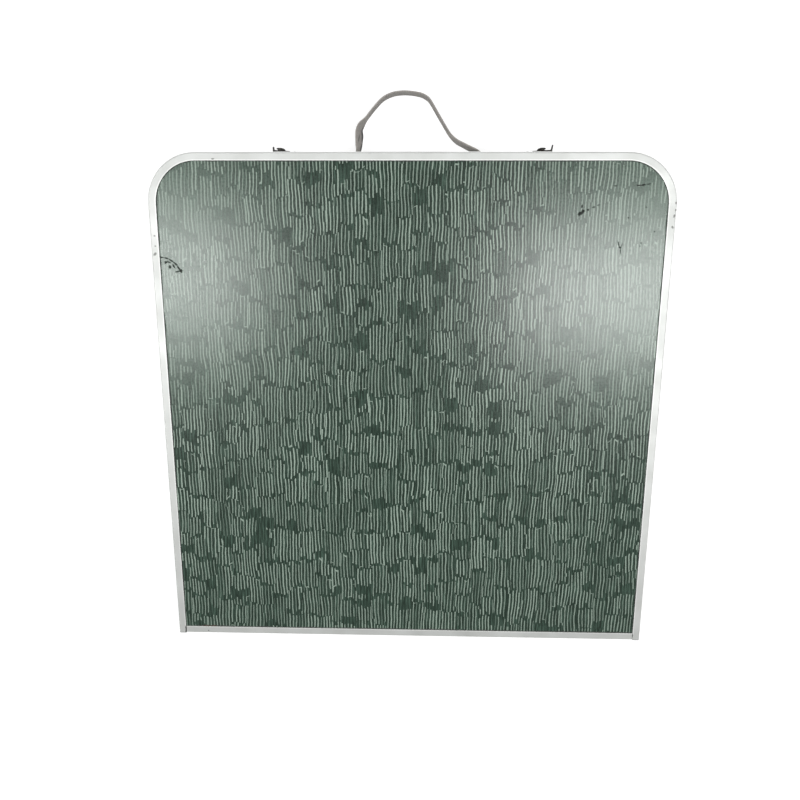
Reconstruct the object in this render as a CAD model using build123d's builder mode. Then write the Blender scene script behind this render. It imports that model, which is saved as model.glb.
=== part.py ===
"""A card table that folds in half into a flat case with a carrying strap.

Each half is a laminated board framed by a bent aluminium channel. A continuous hinge joins the halves.
Inside each half lies a folding leg frame with telescoping legs, held open by sliding braces.

The case lies shut on its lower half. X runs along the hinge, Y from the hinge side to the handle side
and Z upwards. The origin is the middle of the plane that the case rests on. All sizes are millimetres.
"""
import os
from math import cos, radians, sin, tan

from build123d import *

os.makedirs("parts", exist_ok=True)

# The closed case
case_width = 600.0
case_length = 600.0
parting_gap = 0.3
corner_radius = 57.0

# Aluminium channel: the section that frames each board
rim_wall = 1.2
rim_face = 9.5
rim_edge_radius = 2.0
groove_flange = 8.0
parting_lip = 5.0
rail_joint_gap = 0.5
tab_play = 0.2

# The board and its laminate
laminate_thickness = 0.8
board_thickness = 4.0
board_play = 0.4

# Running clearances and a length that every through cut can use
pin_clearance = 0.05
slide_clearance = 0.3
collar_clearance = 0.1
side_play = 0.1
cut_overrun = 5.0

# Continuous hinge
hinge_pin_radius = 1.5
hinge_leaf_thickness = 1.0
hinge_leaf_height = 15.0
hinge_leaf_gap = 0.3
hinge_end_margin = 8.0
barrel_clearance = 0.4
knuckle_pitch_wanted = 28.0
knuckle_gap = 0.4
leaf_rivet_radius = 1.6
leaf_rivet_head_radius = 3.0
leaf_rivet_head = 1.0
leaf_rivet_count = 7

# Steel brackets in the two square corners of each half
corner_bracket_leg = 18.0
corner_bracket_thickness = 1.5
corner_bracket_seat = 1.0
corner_bracket_top_gap = 1.65

# Legs, measured along the leg from its pivot
leg_side_inset = 50.0
leg_pivot_inset = 40.0
leg_open_angle = 65.0
leg_tube_radius = 10.0
leg_tube_wall = 1.2
leg_tube_tail = 8.0
inner_tube_wall = 1.2
leg_pin_radius = 4.0
pin_head_radius = 5.0
pin_head = 2.0
foot_to_rim = 17.0
foot_length = 40.0
foot_tip = 18.0
foot_wall = 1.7
foot_flare = 1.6
foot_tip_round = 4.0
collar_to_foot = 2.0
collar_length = 35.0
collar_grip_length = 24.0
collar_on_tube = 20.0
collar_wall = 1.1
collar_rib = 0.8
collar_rib_radius = 1.2
collar_rib_count = 12
collar_end_chamfer = 0.8
collar_to_board = 1.5
collar_to_parting = 0.5
stretcher_from_pivot = 120.0
stretcher_radius = 8.0
stretcher_wall = 1.0

# Angle ears that carry each leg
ear_thickness = 2.0
ear_gap = 0.5
ear_head_wall = 5.0
ear_base_length = 32.0
ear_flange = 14.0
ear_screw_spacing = 20.0

# Braces: a strut on each leg, one rod and two slotted tracks
strut_gap = 2.5
strut_thickness = 3.0
strut_width = 15.0
strut_to_collar = 3.5
brace_pin_radius = 3.0
brace_washer_wall = 2.5
rod_head = 1.5
track_gap = 7.0
track_wall = 1.5
track_foot = 12.0
track_top_lip = 6.0
track_end_margin = 12.0
track_notch_depth = 4.0
track_slot_cover = 1.7
track_screw_inset = 8.0
track_screw_count = 3

# Screws that hold the ears and tracks to the board
screw_radius = 1.7
screw_head_radius = 3.2
screw_head = 1.6
screw_head_round = 0.8
screw_bite = 3.4
screw_hole_depth = 3.6

# Latches on the handle side
latch_spacing = 302.0
latch_below_parting = 6.0
latch_rest_drop = 35.0
latch_spacer = 2.7
latch_spacer_radius = 4.5
latch_journal_radius = 2.5
latch_plate = 2.0
latch_plate_play = 0.3
latch_dome_radius = 5.0
latch_dome = 2.7
latch_dome_round = 2.2
latch_shank_radius = 2.0
latch_inner_head = 1.2
latch_boss_wall = 3.5
latch_arm_width = 10.0
latch_arm_end = 5.2
latch_lever_width = 8.0
latch_lever_length = 13.0
latch_tab_reach = 5.5
latch_tab_bend_radius = 1.5
latch_stud_radius = 1.9
latch_stud_play = 0.4
latch_stud_base_radius = 4.0
latch_stud_head_radius = 3.4
latch_stud_head = 1.4
latch_slot_sweep = 60.0
latch_corner_radius = 3.0

# Carrying strap and what rivets it to the rim
strap_width = 22.0
strap_thickness = 1.8
strap_span = 133.0
strap_height = 69.5
strap_to_plate = 23.0
handle_rivet_spacing = 9.0
handle_rivet_radius = 2.0
handle_rivet_head_radius = 3.5
handle_rivet_head = 1.5
handle_plate_length = 18.0
handle_plate_margin = 1.0
handle_plate_thickness = 1.2
handle_plate_corner = 3.0

# The strap's course seen from above: across in half spans, out from the rim in strap heights
strap_route_shares = [
    (-0.97, 0.0),
    (-0.925, 0.076),
    (-0.895, 0.46),
    (-0.595, 0.807),
    (-0.43, 0.95),
    (-0.08, 1.0),
    (0.18, 0.965),
    (0.335, 0.865),
    (0.475, 0.645),
    (0.60, 0.458),
    (0.70, 0.325),
    (0.80, 0.235),
    (1.047, 0.106),
    (1.19, 0.06),
    (1.28, 0.0),
]
strap_bend_share = 0.45

# Places worked out from the sizes above
side_x = case_width / 2
hinge_y = -case_length / 2
handle_y = case_length / 2
board_bottom = rim_wall + laminate_thickness
board_top = board_bottom + board_thickness
panel_inset = rim_wall + board_play

# Each half is as deep as the collars of its legs need
inner_tube_radius = leg_tube_radius - leg_tube_wall - slide_clearance
foot_neck_radius = inner_tube_radius + foot_wall
foot_radius = foot_neck_radius + foot_flare
collar_valley_radius = leg_tube_radius + collar_clearance + collar_wall
collar_radius = collar_valley_radius + collar_rib
pivot_z = board_top + collar_to_board + collar_radius
half_depth = pivot_z + collar_radius + collar_to_parting
rim_height = half_depth - parting_gap / 2

barrel_radius = hinge_pin_radius + pin_clearance + hinge_leaf_thickness
hinge_axis_y = hinge_y - hinge_leaf_thickness - hinge_leaf_gap
rail_height = half_depth - barrel_radius - barrel_clearance
rail_half_length = side_x - rim_wall - tab_play
rail_lip_x = side_x - rim_face - rail_joint_gap
hinge_half_length = rail_lip_x - hinge_end_margin
knuckle_count = 2 * int(hinge_half_length / knuckle_pitch_wanted)
knuckle_pitch = 2 * hinge_half_length / knuckle_count
knuckle_length = knuckle_pitch - knuckle_gap

leg_x = side_x - leg_side_inset
pivot_y = hinge_y + leg_pivot_inset
foot_end = handle_y - parting_lip - foot_to_rim - pivot_y
foot_start = foot_end - foot_length
collar_end = foot_start - collar_to_foot
collar_start = collar_end - collar_length
leg_tube_end = collar_start + collar_on_tube
brace_reach = (collar_start - strut_to_collar - strut_width / 2) / 2
inner_tube_start = brace_reach + 3 * brace_pin_radius
inner_tube_end = foot_end - foot_tip

strut_outer_x = leg_x - leg_tube_radius - strut_gap
strut_inner_x = strut_outer_x - strut_thickness
track_outer_x = strut_inner_x - track_gap
track_inner_x = track_outer_x - track_wall
slot_radius = brace_pin_radius + slide_clearance
slot_open_y = pivot_y + 2 * brace_reach * cos(radians(leg_open_angle))
slot_stowed_y = pivot_y + 2 * brace_reach
track_start_y = slot_open_y - slot_radius - track_end_margin
track_end_y = slot_stowed_y + slot_radius + track_end_margin
track_length = track_end_y - track_start_y
track_height = pivot_z - board_top + track_notch_depth + slot_radius + track_slot_cover

ear_inner_x = leg_x - leg_tube_radius - ear_gap - ear_thickness
ear_outer_x = leg_x + leg_tube_radius + ear_gap
ear_head_radius = leg_pin_radius + ear_head_wall
brace_washer_radius = brace_pin_radius + brace_washer_wall

latch_x = latch_spacing / 2
latch_z = half_depth - latch_below_parting
latch_reach = 2 * latch_below_parting
latch_boss_radius = latch_journal_radius + latch_boss_wall
latch_arm_tip = latch_reach + latch_stud_radius + latch_stud_play + latch_arm_end
rim_inner_y = handle_y - rim_wall
latch_spacer_y = handle_y + latch_spacer
latch_plate_y = latch_spacer_y + latch_plate_play
latch_dome_y = latch_plate_y + latch_plate + latch_plate_play

strap_low = (half_depth - strap_width) / 2
strap_y = handle_y + strap_thickness / 2
plate_y = handle_y + strap_thickness
handle_x = strap_span / 2 + strap_to_plate + handle_plate_length / 2
handle_plate_width = strap_width + 2 * handle_plate_margin

parting_plane = Plane.XY.offset(half_depth)
leg_plane = Plane(origin=(leg_x, pivot_y, pivot_z), x_dir=(0, 1, 0), z_dir=(0, 0, -1))
leg_axis = Axis((leg_x, pivot_y, pivot_z), (0, 1, 0))


def write(piece, name):
    """Label a finished piece and write its STEP file."""
    piece.part.label = name
    export_step(piece.part, f"parts/{name}.step")


def write_halves(piece, name):
    """Write the lower half's piece, and its mirror image for the lid."""
    write(piece, f"lower_{name}")
    with BuildPart() as in_lid:
        mirror(piece.part, about=parting_plane)
    write(in_lid, f"upper_{name}")


def write_sides_of_halves(piece, name):
    """Write the right-hand piece of the lower half, and its mirror images on the left and in the lid."""
    with BuildPart() as on_left:
        mirror(piece.part, about=Plane.YZ)
    write_halves(on_left, f"{name}_left")
    write_halves(piece, f"{name}_right")


def across(x):
    """The upright plane at x, on which sketches are drawn in Y and Z."""
    return Plane.YZ.offset(x)


def along_leg(distance):
    """The plane across the right-hand leg, at a distance from its pivot."""
    return Plane(origin=(leg_x, pivot_y + distance, pivot_z), x_dir=(1, 0, 0), z_dir=(0, 1, 0))


def channel_section(height, lip):
    """Draw the channel that grips a board, from its outer bottom corner: wall, lip, groove and edge."""
    Rectangle(rim_wall, height, align=(Align.MIN, Align.MIN))
    Rectangle(lip, rim_wall, align=(Align.MIN, Align.MIN))
    with Locations((0, board_top)):
        Rectangle(groove_flange, rim_wall, align=(Align.MIN, Align.MIN))
    with Locations((0, height - rim_wall)):
        Rectangle(parting_lip, rim_wall, align=(Align.MIN, Align.MIN))


def round_bar(plane_from, length, radius, mode=Mode.ADD):
    """Extrude a round bar from a plane. With Mode.SUBTRACT it bores a hole."""
    with BuildSketch(plane_from) as disc:
        Circle(radius)
    extrude(disc.sketch, amount=length, mode=mode)


def cross_bar(x_from, x_to, y, z, radius, mode=Mode.ADD):
    """Extrude a round bar, or bore a hole, along X at one place in Y and Z."""
    with BuildSketch(across(x_from)) as disc:
        with Locations((y, z)):
            Circle(radius)
    extrude(disc.sketch, amount=x_to - x_from, mode=mode)


def wall_bar(x, z, y_from, y_to, radius, mode=Mode.ADD):
    """Extrude a round bar, or bore a hole, along Y at one place in X and Z."""
    with BuildSketch(Plane(origin=(x, y_from, z), x_dir=(1, 0, 0), z_dir=(0, 1, 0))) as disc:
        Circle(radius)
    extrude(disc.sketch, amount=y_to - y_from, mode=mode)


# Where screws go into the board: beside each leg pivot and along each track
ear_screw_places = [
    (x, pivot_y + side * ear_screw_spacing / 2)
    for x in (ear_inner_x - ear_flange / 2, ear_outer_x + ear_thickness + ear_flange / 2)
    for side in (-1, 1)
]
track_screw_x = track_inner_x - (track_foot - track_wall) / 2
track_screw_run = track_length - 2 * track_screw_inset
track_screw_places = [
    (track_screw_x, track_start_y + track_screw_inset + track_screw_run * i / (track_screw_count - 1))
    for i in range(track_screw_count)
]
handle_rivet_places = [
    (side * handle_x, strap_low + strap_width / 2 + up * handle_rivet_spacing / 2)
    for side in (-1, 1)
    for up in (-1, 1)
]
leaf_rivet_pitch = 2 * hinge_half_length / leaf_rivet_count
leaf_rivet_z = rail_height - hinge_leaf_height / 2
leaf_rivet_places = [
    ((i - (leaf_rivet_count - 1) / 2) * leaf_rivet_pitch, leaf_rivet_z) for i in range(leaf_rivet_count)
]


# Printed laminate, the sheet that shows inside the rim
with BuildPart() as laminate:
    with BuildSketch(Plane.XY.offset(rim_wall)) as panel_outline:
        Rectangle(case_width - 2 * panel_inset, case_length - 2 * panel_inset)
        fillet(panel_outline.vertices().group_by(Axis.Y)[-1], corner_radius - panel_inset)
    extrude(amount=laminate_thickness)
write_halves(laminate, "laminate")


# Core board, drilled from the inside for the ears and tracks
with BuildPart() as core_board:
    with BuildSketch(Plane.XY.offset(board_bottom)) as board_outline:
        Rectangle(case_width - 2 * panel_inset, case_length - 2 * panel_inset)
        fillet(board_outline.vertices().group_by(Axis.Y)[-1], corner_radius - panel_inset)
    extrude(amount=board_thickness)
    with BuildSketch(Plane.XY.offset(board_top)):
        for x, y in ear_screw_places + track_screw_places:
            with Locations((x, y), (-x, y)):
                Circle(screw_radius + pin_clearance)
    extrude(amount=-screw_hole_depth, mode=Mode.SUBTRACT)
write_halves(core_board, "core_board")


def bent_rim(rivet_places):
    """Bend the channel round the two sides and the handle side, and pierce it for latches and rivets."""
    with BuildPart() as rim:
        with BuildLine() as rim_line:
            FilletPolyline(
                (-side_x, hinge_y),
                (-side_x, handle_y),
                (side_x, handle_y),
                (side_x, hinge_y),
                radius=corner_radius,
            )
        rim_end_plane = Plane(origin=(-side_x, hinge_y, 0), x_dir=(1, 0, 0), z_dir=(0, -1, 0))
        with BuildSketch(rim_end_plane) as rim_section:
            channel_section(rim_height, rim_face)
            fillet(rim_section.vertices().sort_by_distance((0, 0, 0))[0], rim_edge_radius)
        sweep(path=rim_line.line)
        # The flanges stop short of the hinge rail, whose wall comes in between the side walls
        with BuildSketch(Plane.XY.offset(rim_wall)):
            with Locations((0, hinge_y)):
                Rectangle(2 * (side_x - rim_wall), 2 * (rim_wall + tab_play))
        extrude(amount=rim_height, mode=Mode.SUBTRACT)
        for x in (-latch_x, latch_x):
            wall_bar(x, latch_z, handle_y - cut_overrun, handle_y + cut_overrun,
                     latch_shank_radius + pin_clearance, Mode.SUBTRACT)
        for x, z in rivet_places:
            wall_bar(x, z, handle_y - cut_overrun, handle_y + cut_overrun,
                     handle_rivet_radius + pin_clearance, Mode.SUBTRACT)
    return rim


# The lower rim also takes the handle's rivets
lower_edge_rim = bent_rim(handle_rivet_places)
write(lower_edge_rim, "lower_edge_rim")
plain_edge_rim = bent_rim([])
with BuildPart() as upper_edge_rim:
    mirror(plain_edge_rim.part, about=parting_plane)
write(upper_edge_rim, "upper_edge_rim")


# Hinge rail, the straight channel between the ends of the rim
with BuildPart() as hinge_rail:
    rail_end_plane = Plane(origin=(-rail_half_length, hinge_y, 0), x_dir=(0, 1, 0), z_dir=(1, 0, 0))
    with BuildSketch(rail_end_plane) as rail_section:
        channel_section(rail_height, rim_face)
        fillet(rail_section.vertices().sort_by_distance((0, 0, 0))[0], rim_edge_radius)
    extrude(amount=2 * rail_half_length)
    # Beyond the lip only the upright wall goes on, as a tab behind the side rims
    with BuildSketch(Plane.XY):
        with Locations((side_x, hinge_y + rim_wall), (-side_x, hinge_y + rim_wall)):
            Rectangle(2 * (side_x - rail_lip_x), 2 * groove_flange, align=(Align.CENTER, Align.MIN))
    extrude(amount=rim_height, mode=Mode.SUBTRACT)
    with BuildSketch(Plane.XY):
        with Locations((side_x, hinge_y), (-side_x, hinge_y)):
            Rectangle(2 * (side_x - rail_lip_x), 2 * groove_flange)
    extrude(amount=rim_wall + tab_play, mode=Mode.SUBTRACT)
    for x, z in leaf_rivet_places:
        wall_bar(x, z, hinge_y - cut_overrun, hinge_y + cut_overrun,
                 leaf_rivet_radius + pin_clearance, Mode.SUBTRACT)
write_halves(hinge_rail, "hinge_rail")


def hinge_leaf(first_knuckle):
    """A leaf of the continuous hinge, with every second knuckle rolled round the pin."""
    knuckle_neck = barrel_radius + 2 * barrel_clearance
    with BuildPart() as leaf:
        with BuildSketch(across(-hinge_half_length)):
            with Locations((hinge_y, rail_height)):
                Rectangle(hinge_leaf_thickness, hinge_leaf_height, align=(Align.MAX, Align.MAX))
        extrude(amount=2 * hinge_half_length)
        for i in range(first_knuckle, knuckle_count, 2):
            with BuildSketch(across(-hinge_half_length + i * knuckle_pitch + knuckle_gap / 2)):
                with Locations((hinge_axis_y, half_depth)):
                    Circle(barrel_radius)
                with Locations((hinge_y, half_depth)):
                    Rectangle(hinge_leaf_thickness, knuckle_neck, align=(Align.MAX, Align.MAX))
                with Locations((hinge_axis_y, half_depth)):
                    Circle(hinge_pin_radius + pin_clearance, mode=Mode.SUBTRACT)
            extrude(amount=knuckle_length)
        for x, z in leaf_rivet_places:
            wall_bar(x, z, hinge_y - cut_overrun, hinge_y + cut_overrun,
                     leaf_rivet_radius + pin_clearance, Mode.SUBTRACT)
    return leaf


lower_hinge_leaf = hinge_leaf(0)
write(lower_hinge_leaf, "lower_hinge_leaf")
turned_hinge_leaf = hinge_leaf(1)
with BuildPart() as upper_hinge_leaf:
    mirror(turned_hinge_leaf.part, about=parting_plane)
write(upper_hinge_leaf, "upper_hinge_leaf")

with BuildPart() as hinge_pin:
    cross_bar(-hinge_half_length, hinge_half_length, hinge_axis_y, half_depth, hinge_pin_radius)
write(hinge_pin, "hinge_pin")

# Leaf rivets: flush outside, so that the leaves can close on each other, with a head inside the rail
with BuildPart() as leaf_rivets:
    for x, z in leaf_rivet_places:
        wall_bar(x, z, hinge_y - hinge_leaf_thickness, hinge_y + rim_wall, leaf_rivet_radius)
        wall_bar(x, z, hinge_y + rim_wall, hinge_y + rim_wall + leaf_rivet_head, leaf_rivet_head_radius)
write_halves(leaf_rivets, "hinge_leaf_rivets")


# Corner brackets: steel angles behind the square corners, between the two flanges of the channel
with BuildPart() as corner_brackets:
    bracket_base_z = board_top + rim_wall + corner_bracket_seat
    bracket_top_z = rail_height - rim_wall - corner_bracket_top_gap
    with BuildSketch(Plane((side_x - rim_wall, hinge_y + rim_wall, bracket_base_z))):
        Rectangle(corner_bracket_leg, corner_bracket_thickness, align=(Align.MAX, Align.MIN))
        Rectangle(corner_bracket_thickness, corner_bracket_leg, align=(Align.MAX, Align.MIN))
    extrude(amount=bracket_top_z - bracket_base_z)
    mirror(about=Plane.YZ)
write_halves(corner_brackets, "corner_brackets")


# Leg brackets: a pair of angle ears for each leg, their feet turned away from the tube
with BuildPart() as leg_brackets:
    for ear_x, foot_side in ((ear_inner_x, -1), (ear_outer_x, 1)):
        with BuildSketch(across(ear_x)):
            with Locations((pivot_y, pivot_z)):
                Circle(ear_head_radius)
            with Locations((pivot_y, board_top)):
                Rectangle(ear_base_length, ear_thickness, align=(Align.CENTER, Align.MIN))
            make_hull()
        extrude(amount=ear_thickness)
        flange_start = ear_x if foot_side < 0 else ear_x + ear_thickness
        with BuildSketch(Plane.XY.offset(board_top)):
            with Locations((flange_start + foot_side * ear_flange / 2, pivot_y)):
                Rectangle(ear_flange, ear_base_length)
        extrude(amount=ear_thickness)
    cross_bar(ear_inner_x - cut_overrun, ear_outer_x + cut_overrun, pivot_y, pivot_z,
              leg_pin_radius + pin_clearance, Mode.SUBTRACT)
    with BuildSketch(Plane.XY.offset(board_top - cut_overrun)):
        with Locations(*ear_screw_places):
            Circle(screw_radius + pin_clearance)
    extrude(amount=ear_thickness + cut_overrun, mode=Mode.SUBTRACT)
    mirror(about=Plane.YZ)
write_halves(leg_brackets, "leg_brackets")

# Leg pivot pins, each with a head on both sides of its pair of ears
with BuildPart() as leg_pivot_pins:
    pin_end_x = ear_outer_x + ear_thickness
    cross_bar(ear_inner_x, pin_end_x, pivot_y, pivot_z, leg_pin_radius)
    cross_bar(ear_inner_x - pin_head, ear_inner_x, pivot_y, pivot_z, pin_head_radius)
    cross_bar(pin_end_x, pin_end_x + pin_head, pivot_y, pivot_z, pin_head_radius)
    mirror(about=Plane.YZ)
write_halves(leg_pivot_pins, "leg_pivot_pins")


# Leg tube, the top part of the leg, drilled for the pivot and for the brace
with BuildPart() as leg_tube:
    tube_length = leg_tube_tail + leg_tube_end
    round_bar(along_leg(-leg_tube_tail), tube_length, leg_tube_radius)
    round_bar(along_leg(-leg_tube_tail), tube_length, leg_tube_radius - leg_tube_wall, Mode.SUBTRACT)
    cross_bar(leg_x - leg_tube_radius, leg_x + leg_tube_radius, pivot_y, pivot_z,
              leg_pin_radius + pin_clearance, Mode.SUBTRACT)
    cross_bar(leg_x - leg_tube_radius, leg_x + leg_tube_radius, pivot_y + brace_reach, pivot_z,
              brace_pin_radius + pin_clearance, Mode.SUBTRACT)
write_sides_of_halves(leg_tube, "leg_tube")

# Stretcher between the two legs, its ends coped to fit the round tubes
with BuildPart() as leg_stretcher:
    cross_bar(-leg_x, leg_x, pivot_y + stretcher_from_pivot, pivot_z, stretcher_radius)
    cross_bar(-leg_x, leg_x, pivot_y + stretcher_from_pivot, pivot_z, stretcher_radius - stretcher_wall,
              Mode.SUBTRACT)
    round_bar(along_leg(0), leg_tube_end, leg_tube_radius, Mode.SUBTRACT)
    with BuildSketch(Plane(origin=(-leg_x, pivot_y, pivot_z), x_dir=(1, 0, 0), z_dir=(0, 1, 0))):
        Circle(leg_tube_radius)
    extrude(amount=leg_tube_end, mode=Mode.SUBTRACT)
write_halves(leg_stretcher, "leg_stretcher")

# Inner tube, the telescoping end of the leg
with BuildPart() as inner_tube:
    inner_tube_length = inner_tube_end - inner_tube_start
    inner_tube_bore = inner_tube_radius - inner_tube_wall
    round_bar(along_leg(inner_tube_start), inner_tube_length, inner_tube_radius)
    round_bar(along_leg(inner_tube_start), inner_tube_length, inner_tube_bore, Mode.SUBTRACT)
write_sides_of_halves(inner_tube, "inner_tube")

# Foot: a moulded cap over the end of the inner tube, narrow at its neck and rounded at the ground
with BuildPart() as foot:
    with BuildSketch(leg_plane) as foot_profile:
        with BuildLine():
            Polyline(
                (foot_start, inner_tube_radius + pin_clearance),
                (foot_start, foot_neck_radius),
                (inner_tube_end - foot_neck_radius, foot_neck_radius),
                (inner_tube_end, foot_radius),
                (foot_end, foot_radius),
                (foot_end, 0),
                (inner_tube_end, 0),
                (inner_tube_end, inner_tube_radius + pin_clearance),
                close=True,
            )
        make_face()
        fillet(foot_profile.vertices().sort_by(Axis.Y)[-2:].sort_by(Axis.X)[-1], foot_tip_round)
    revolve(axis=leg_axis)
write_sides_of_halves(foot, "foot")

# Twist-lock collar: a ribbed grip over the end of the leg tube, closed in round the inner tube
with BuildPart() as lock_collar:
    with BuildSketch(along_leg(collar_start)):
        Circle(collar_valley_radius)
        with PolarLocations(collar_radius - collar_rib_radius, collar_rib_count):
            Circle(collar_rib_radius)
    extrude(amount=collar_grip_length)
    with BuildSketch(along_leg(collar_start)):
        Circle(collar_valley_radius)
    extrude(amount=collar_length)
    chamfer(lock_collar.edges().group_by(Axis.Y)[-1], collar_end_chamfer)
    round_bar(along_leg(collar_start), collar_on_tube + slide_clearance, leg_tube_radius + collar_clearance,
              Mode.SUBTRACT)
    round_bar(along_leg(collar_start), collar_length, inner_tube_radius + slide_clearance, Mode.SUBTRACT)
write_sides_of_halves(lock_collar, "lock_collar")


# Brace strut, a flat bar from the middle of the leg to the rod
with BuildPart() as brace_strut:
    with BuildSketch(across(strut_inner_x)):
        with Locations((pivot_y + 3 * brace_reach / 2, pivot_z)):
            SlotCenterToCenter(brace_reach, strut_width)
        with Locations((pivot_y + brace_reach, pivot_z), (pivot_y + 2 * brace_reach, pivot_z)):
            Circle(brace_pin_radius + pin_clearance, mode=Mode.SUBTRACT)
    extrude(amount=strut_thickness)
write_sides_of_halves(brace_strut, "brace_strut")

# Brace pivot pins, with a shoulder that keeps the strut off the leg
with BuildPart() as brace_pivot_pins:
    brace_pin_y = pivot_y + brace_reach
    pin_inner_x = strut_inner_x - side_play
    pin_outer_x = leg_x + leg_tube_radius
    cross_bar(pin_inner_x, pin_outer_x, brace_pin_y, pivot_z, brace_pin_radius)
    cross_bar(strut_outer_x + side_play, leg_x - leg_tube_radius, brace_pin_y, pivot_z, brace_washer_radius)
    cross_bar(pin_inner_x - pin_head, pin_inner_x, brace_pin_y, pivot_z, pin_head_radius)
    cross_bar(pin_outer_x, pin_outer_x + pin_head, brace_pin_y, pivot_z, pin_head_radius)
    mirror(about=Plane.YZ)
write_halves(brace_pivot_pins, "brace_pivot_pins")

# Brace rod, which joins the two struts and slides in the tracks
with BuildPart() as brace_rod:
    cross_bar(-strut_outer_x, strut_outer_x, slot_stowed_y, pivot_z, brace_pin_radius)
    cross_bar(strut_outer_x, strut_outer_x + rod_head, slot_stowed_y, pivot_z, pin_head_radius)
    cross_bar(-strut_outer_x - rod_head, -strut_outer_x, slot_stowed_y, pivot_z, pin_head_radius)
write_halves(brace_rod, "brace_rod")

# Brace track: a channel on the board whose slot ends in a notch that holds the rod when the legs are out
with BuildPart() as brace_track:
    track_corner = (track_outer_x, track_start_y, board_top)
    with BuildSketch(Plane(origin=track_corner, x_dir=(-1, 0, 0), z_dir=(0, 1, 0))):
        Rectangle(track_wall, track_height, align=(Align.MIN, Align.MIN))
        Rectangle(track_foot, track_wall, align=(Align.MIN, Align.MIN))
        with Locations((0, track_height)):
            Rectangle(track_top_lip, track_wall, align=(Align.MIN, Align.MAX))
    extrude(amount=track_length)
    with BuildSketch(across(track_inner_x - cut_overrun)):
        with Locations(((slot_open_y + slot_stowed_y) / 2, pivot_z)):
            SlotCenterToCenter(slot_stowed_y - slot_open_y, 2 * slot_radius)
        with Locations((slot_open_y, pivot_z + track_notch_depth / 2)):
            SlotCenterToCenter(track_notch_depth, 2 * slot_radius, rotation=90)
    extrude(amount=track_wall + 2 * cut_overrun, mode=Mode.SUBTRACT)
    with BuildSketch(Plane.XY.offset(board_top - cut_overrun)):
        with Locations(*track_screw_places):
            Circle(screw_radius + pin_clearance)
    extrude(amount=track_wall + cut_overrun, mode=Mode.SUBTRACT)
write_sides_of_halves(brace_track, "brace_track")

# Screws into the board, round-headed, one group for the ears and the tracks
with BuildPart() as fitting_screws:
    for places, seat in (
        (ear_screw_places, board_top + ear_thickness),
        (track_screw_places, board_top + track_wall),
    ):
        with BuildSketch(Plane.XY.offset(seat)):
            with Locations(*places):
                Circle(screw_head_radius)
        extrude(amount=screw_head)
        with BuildSketch(Plane.XY.offset(board_top - screw_bite)):
            with Locations(*places):
                Circle(screw_radius)
        extrude(amount=seat - board_top + screw_bite)
        chamfer(
            fitting_screws.edges(Select.ALL)
            .filter_by(GeomType.CIRCLE)
            .filter_by(lambda edge: abs(edge.center().Z - seat - screw_head) < side_play),
            screw_head_round,
        )
    mirror(about=Plane.YZ)
write_halves(fitting_screws, "fitting_screws")


# Latch pivots: a shank through the rim, a spacer, a journal and a domed head
with BuildPart() as latch_pivots:
    for x in (-latch_x, latch_x):
        wall_bar(x, latch_z, rim_inner_y - latch_inner_head, rim_inner_y, latch_spacer_radius)
        wall_bar(x, latch_z, rim_inner_y, handle_y, latch_shank_radius)
        wall_bar(x, latch_z, handle_y, latch_spacer_y, latch_spacer_radius)
        wall_bar(x, latch_z, latch_spacer_y, latch_dome_y, latch_journal_radius)
        wall_bar(x, latch_z, latch_dome_y, latch_dome_y + latch_dome, latch_dome_radius)
    fillet(latch_pivots.edges().group_by(Axis.Y)[-1], latch_dome_round)
write(latch_pivots, "latch_pivots")

# Latch studs on the lid, where the hooks reach when they are turned up
with BuildPart() as latch_studs:
    stud_z = 2 * half_depth - latch_z
    for x in (-latch_x, latch_x):
        wall_bar(x, stud_z, rim_inner_y - latch_inner_head, rim_inner_y, latch_stud_base_radius)
        wall_bar(x, stud_z, rim_inner_y, handle_y, latch_shank_radius)
        wall_bar(x, stud_z, handle_y, latch_spacer_y, latch_stud_base_radius)
        wall_bar(x, stud_z, latch_spacer_y, latch_dome_y, latch_stud_radius)
        wall_bar(x, stud_z, latch_dome_y, latch_dome_y + latch_stud_head, latch_stud_head_radius)
write(latch_studs, "latch_studs")

# Latch hook: a flat arm with a curved notch, and a thumb tab bent outwards at the other end.
# Undone, its arm hangs below level
hook_notch_line = CenterArc((0, 0), latch_reach, 0, latch_slot_sweep)
with BuildPart() as latch_hook_right:
    hook_drop = radians(latch_rest_drop)
    hook_plane = Plane(
        origin=(latch_x, latch_plate_y, latch_z), x_dir=(-cos(hook_drop), 0, -sin(hook_drop)), z_dir=(0, 1, 0)
    )
    with BuildSketch(hook_plane) as hook_outline:
        Circle(latch_boss_radius)
        Rectangle(latch_arm_tip, latch_arm_width, align=(Align.MIN, Align.CENTER))
        fillet(hook_outline.vertices().group_by(Axis.X)[-1], latch_corner_radius)
        Rectangle(latch_lever_length, latch_lever_width, align=(Align.MAX, Align.CENTER))
        SlotArc(hook_notch_line, 2 * (latch_stud_radius + latch_stud_play), mode=Mode.SUBTRACT)
        Circle(latch_journal_radius + pin_clearance, mode=Mode.SUBTRACT)
    extrude(amount=latch_plate)
    with BuildSketch(hook_plane):
        with Locations((-latch_lever_length, 0)):
            Rectangle(latch_plate, latch_lever_width, align=(Align.MIN, Align.CENTER))
    extrude(amount=latch_plate + latch_tab_reach)
    tab_bend = hook_plane.from_local_coords((-latch_lever_length, 0, 0))
    fillet(latch_hook_right.edges().sort_by_distance(tab_bend)[0], latch_tab_bend_radius)
write(latch_hook_right, "latch_hook_right")
with BuildPart() as latch_hook_left:
    mirror(latch_hook_right.part, about=Plane.YZ)
write(latch_hook_left, "latch_hook_left")


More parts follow.
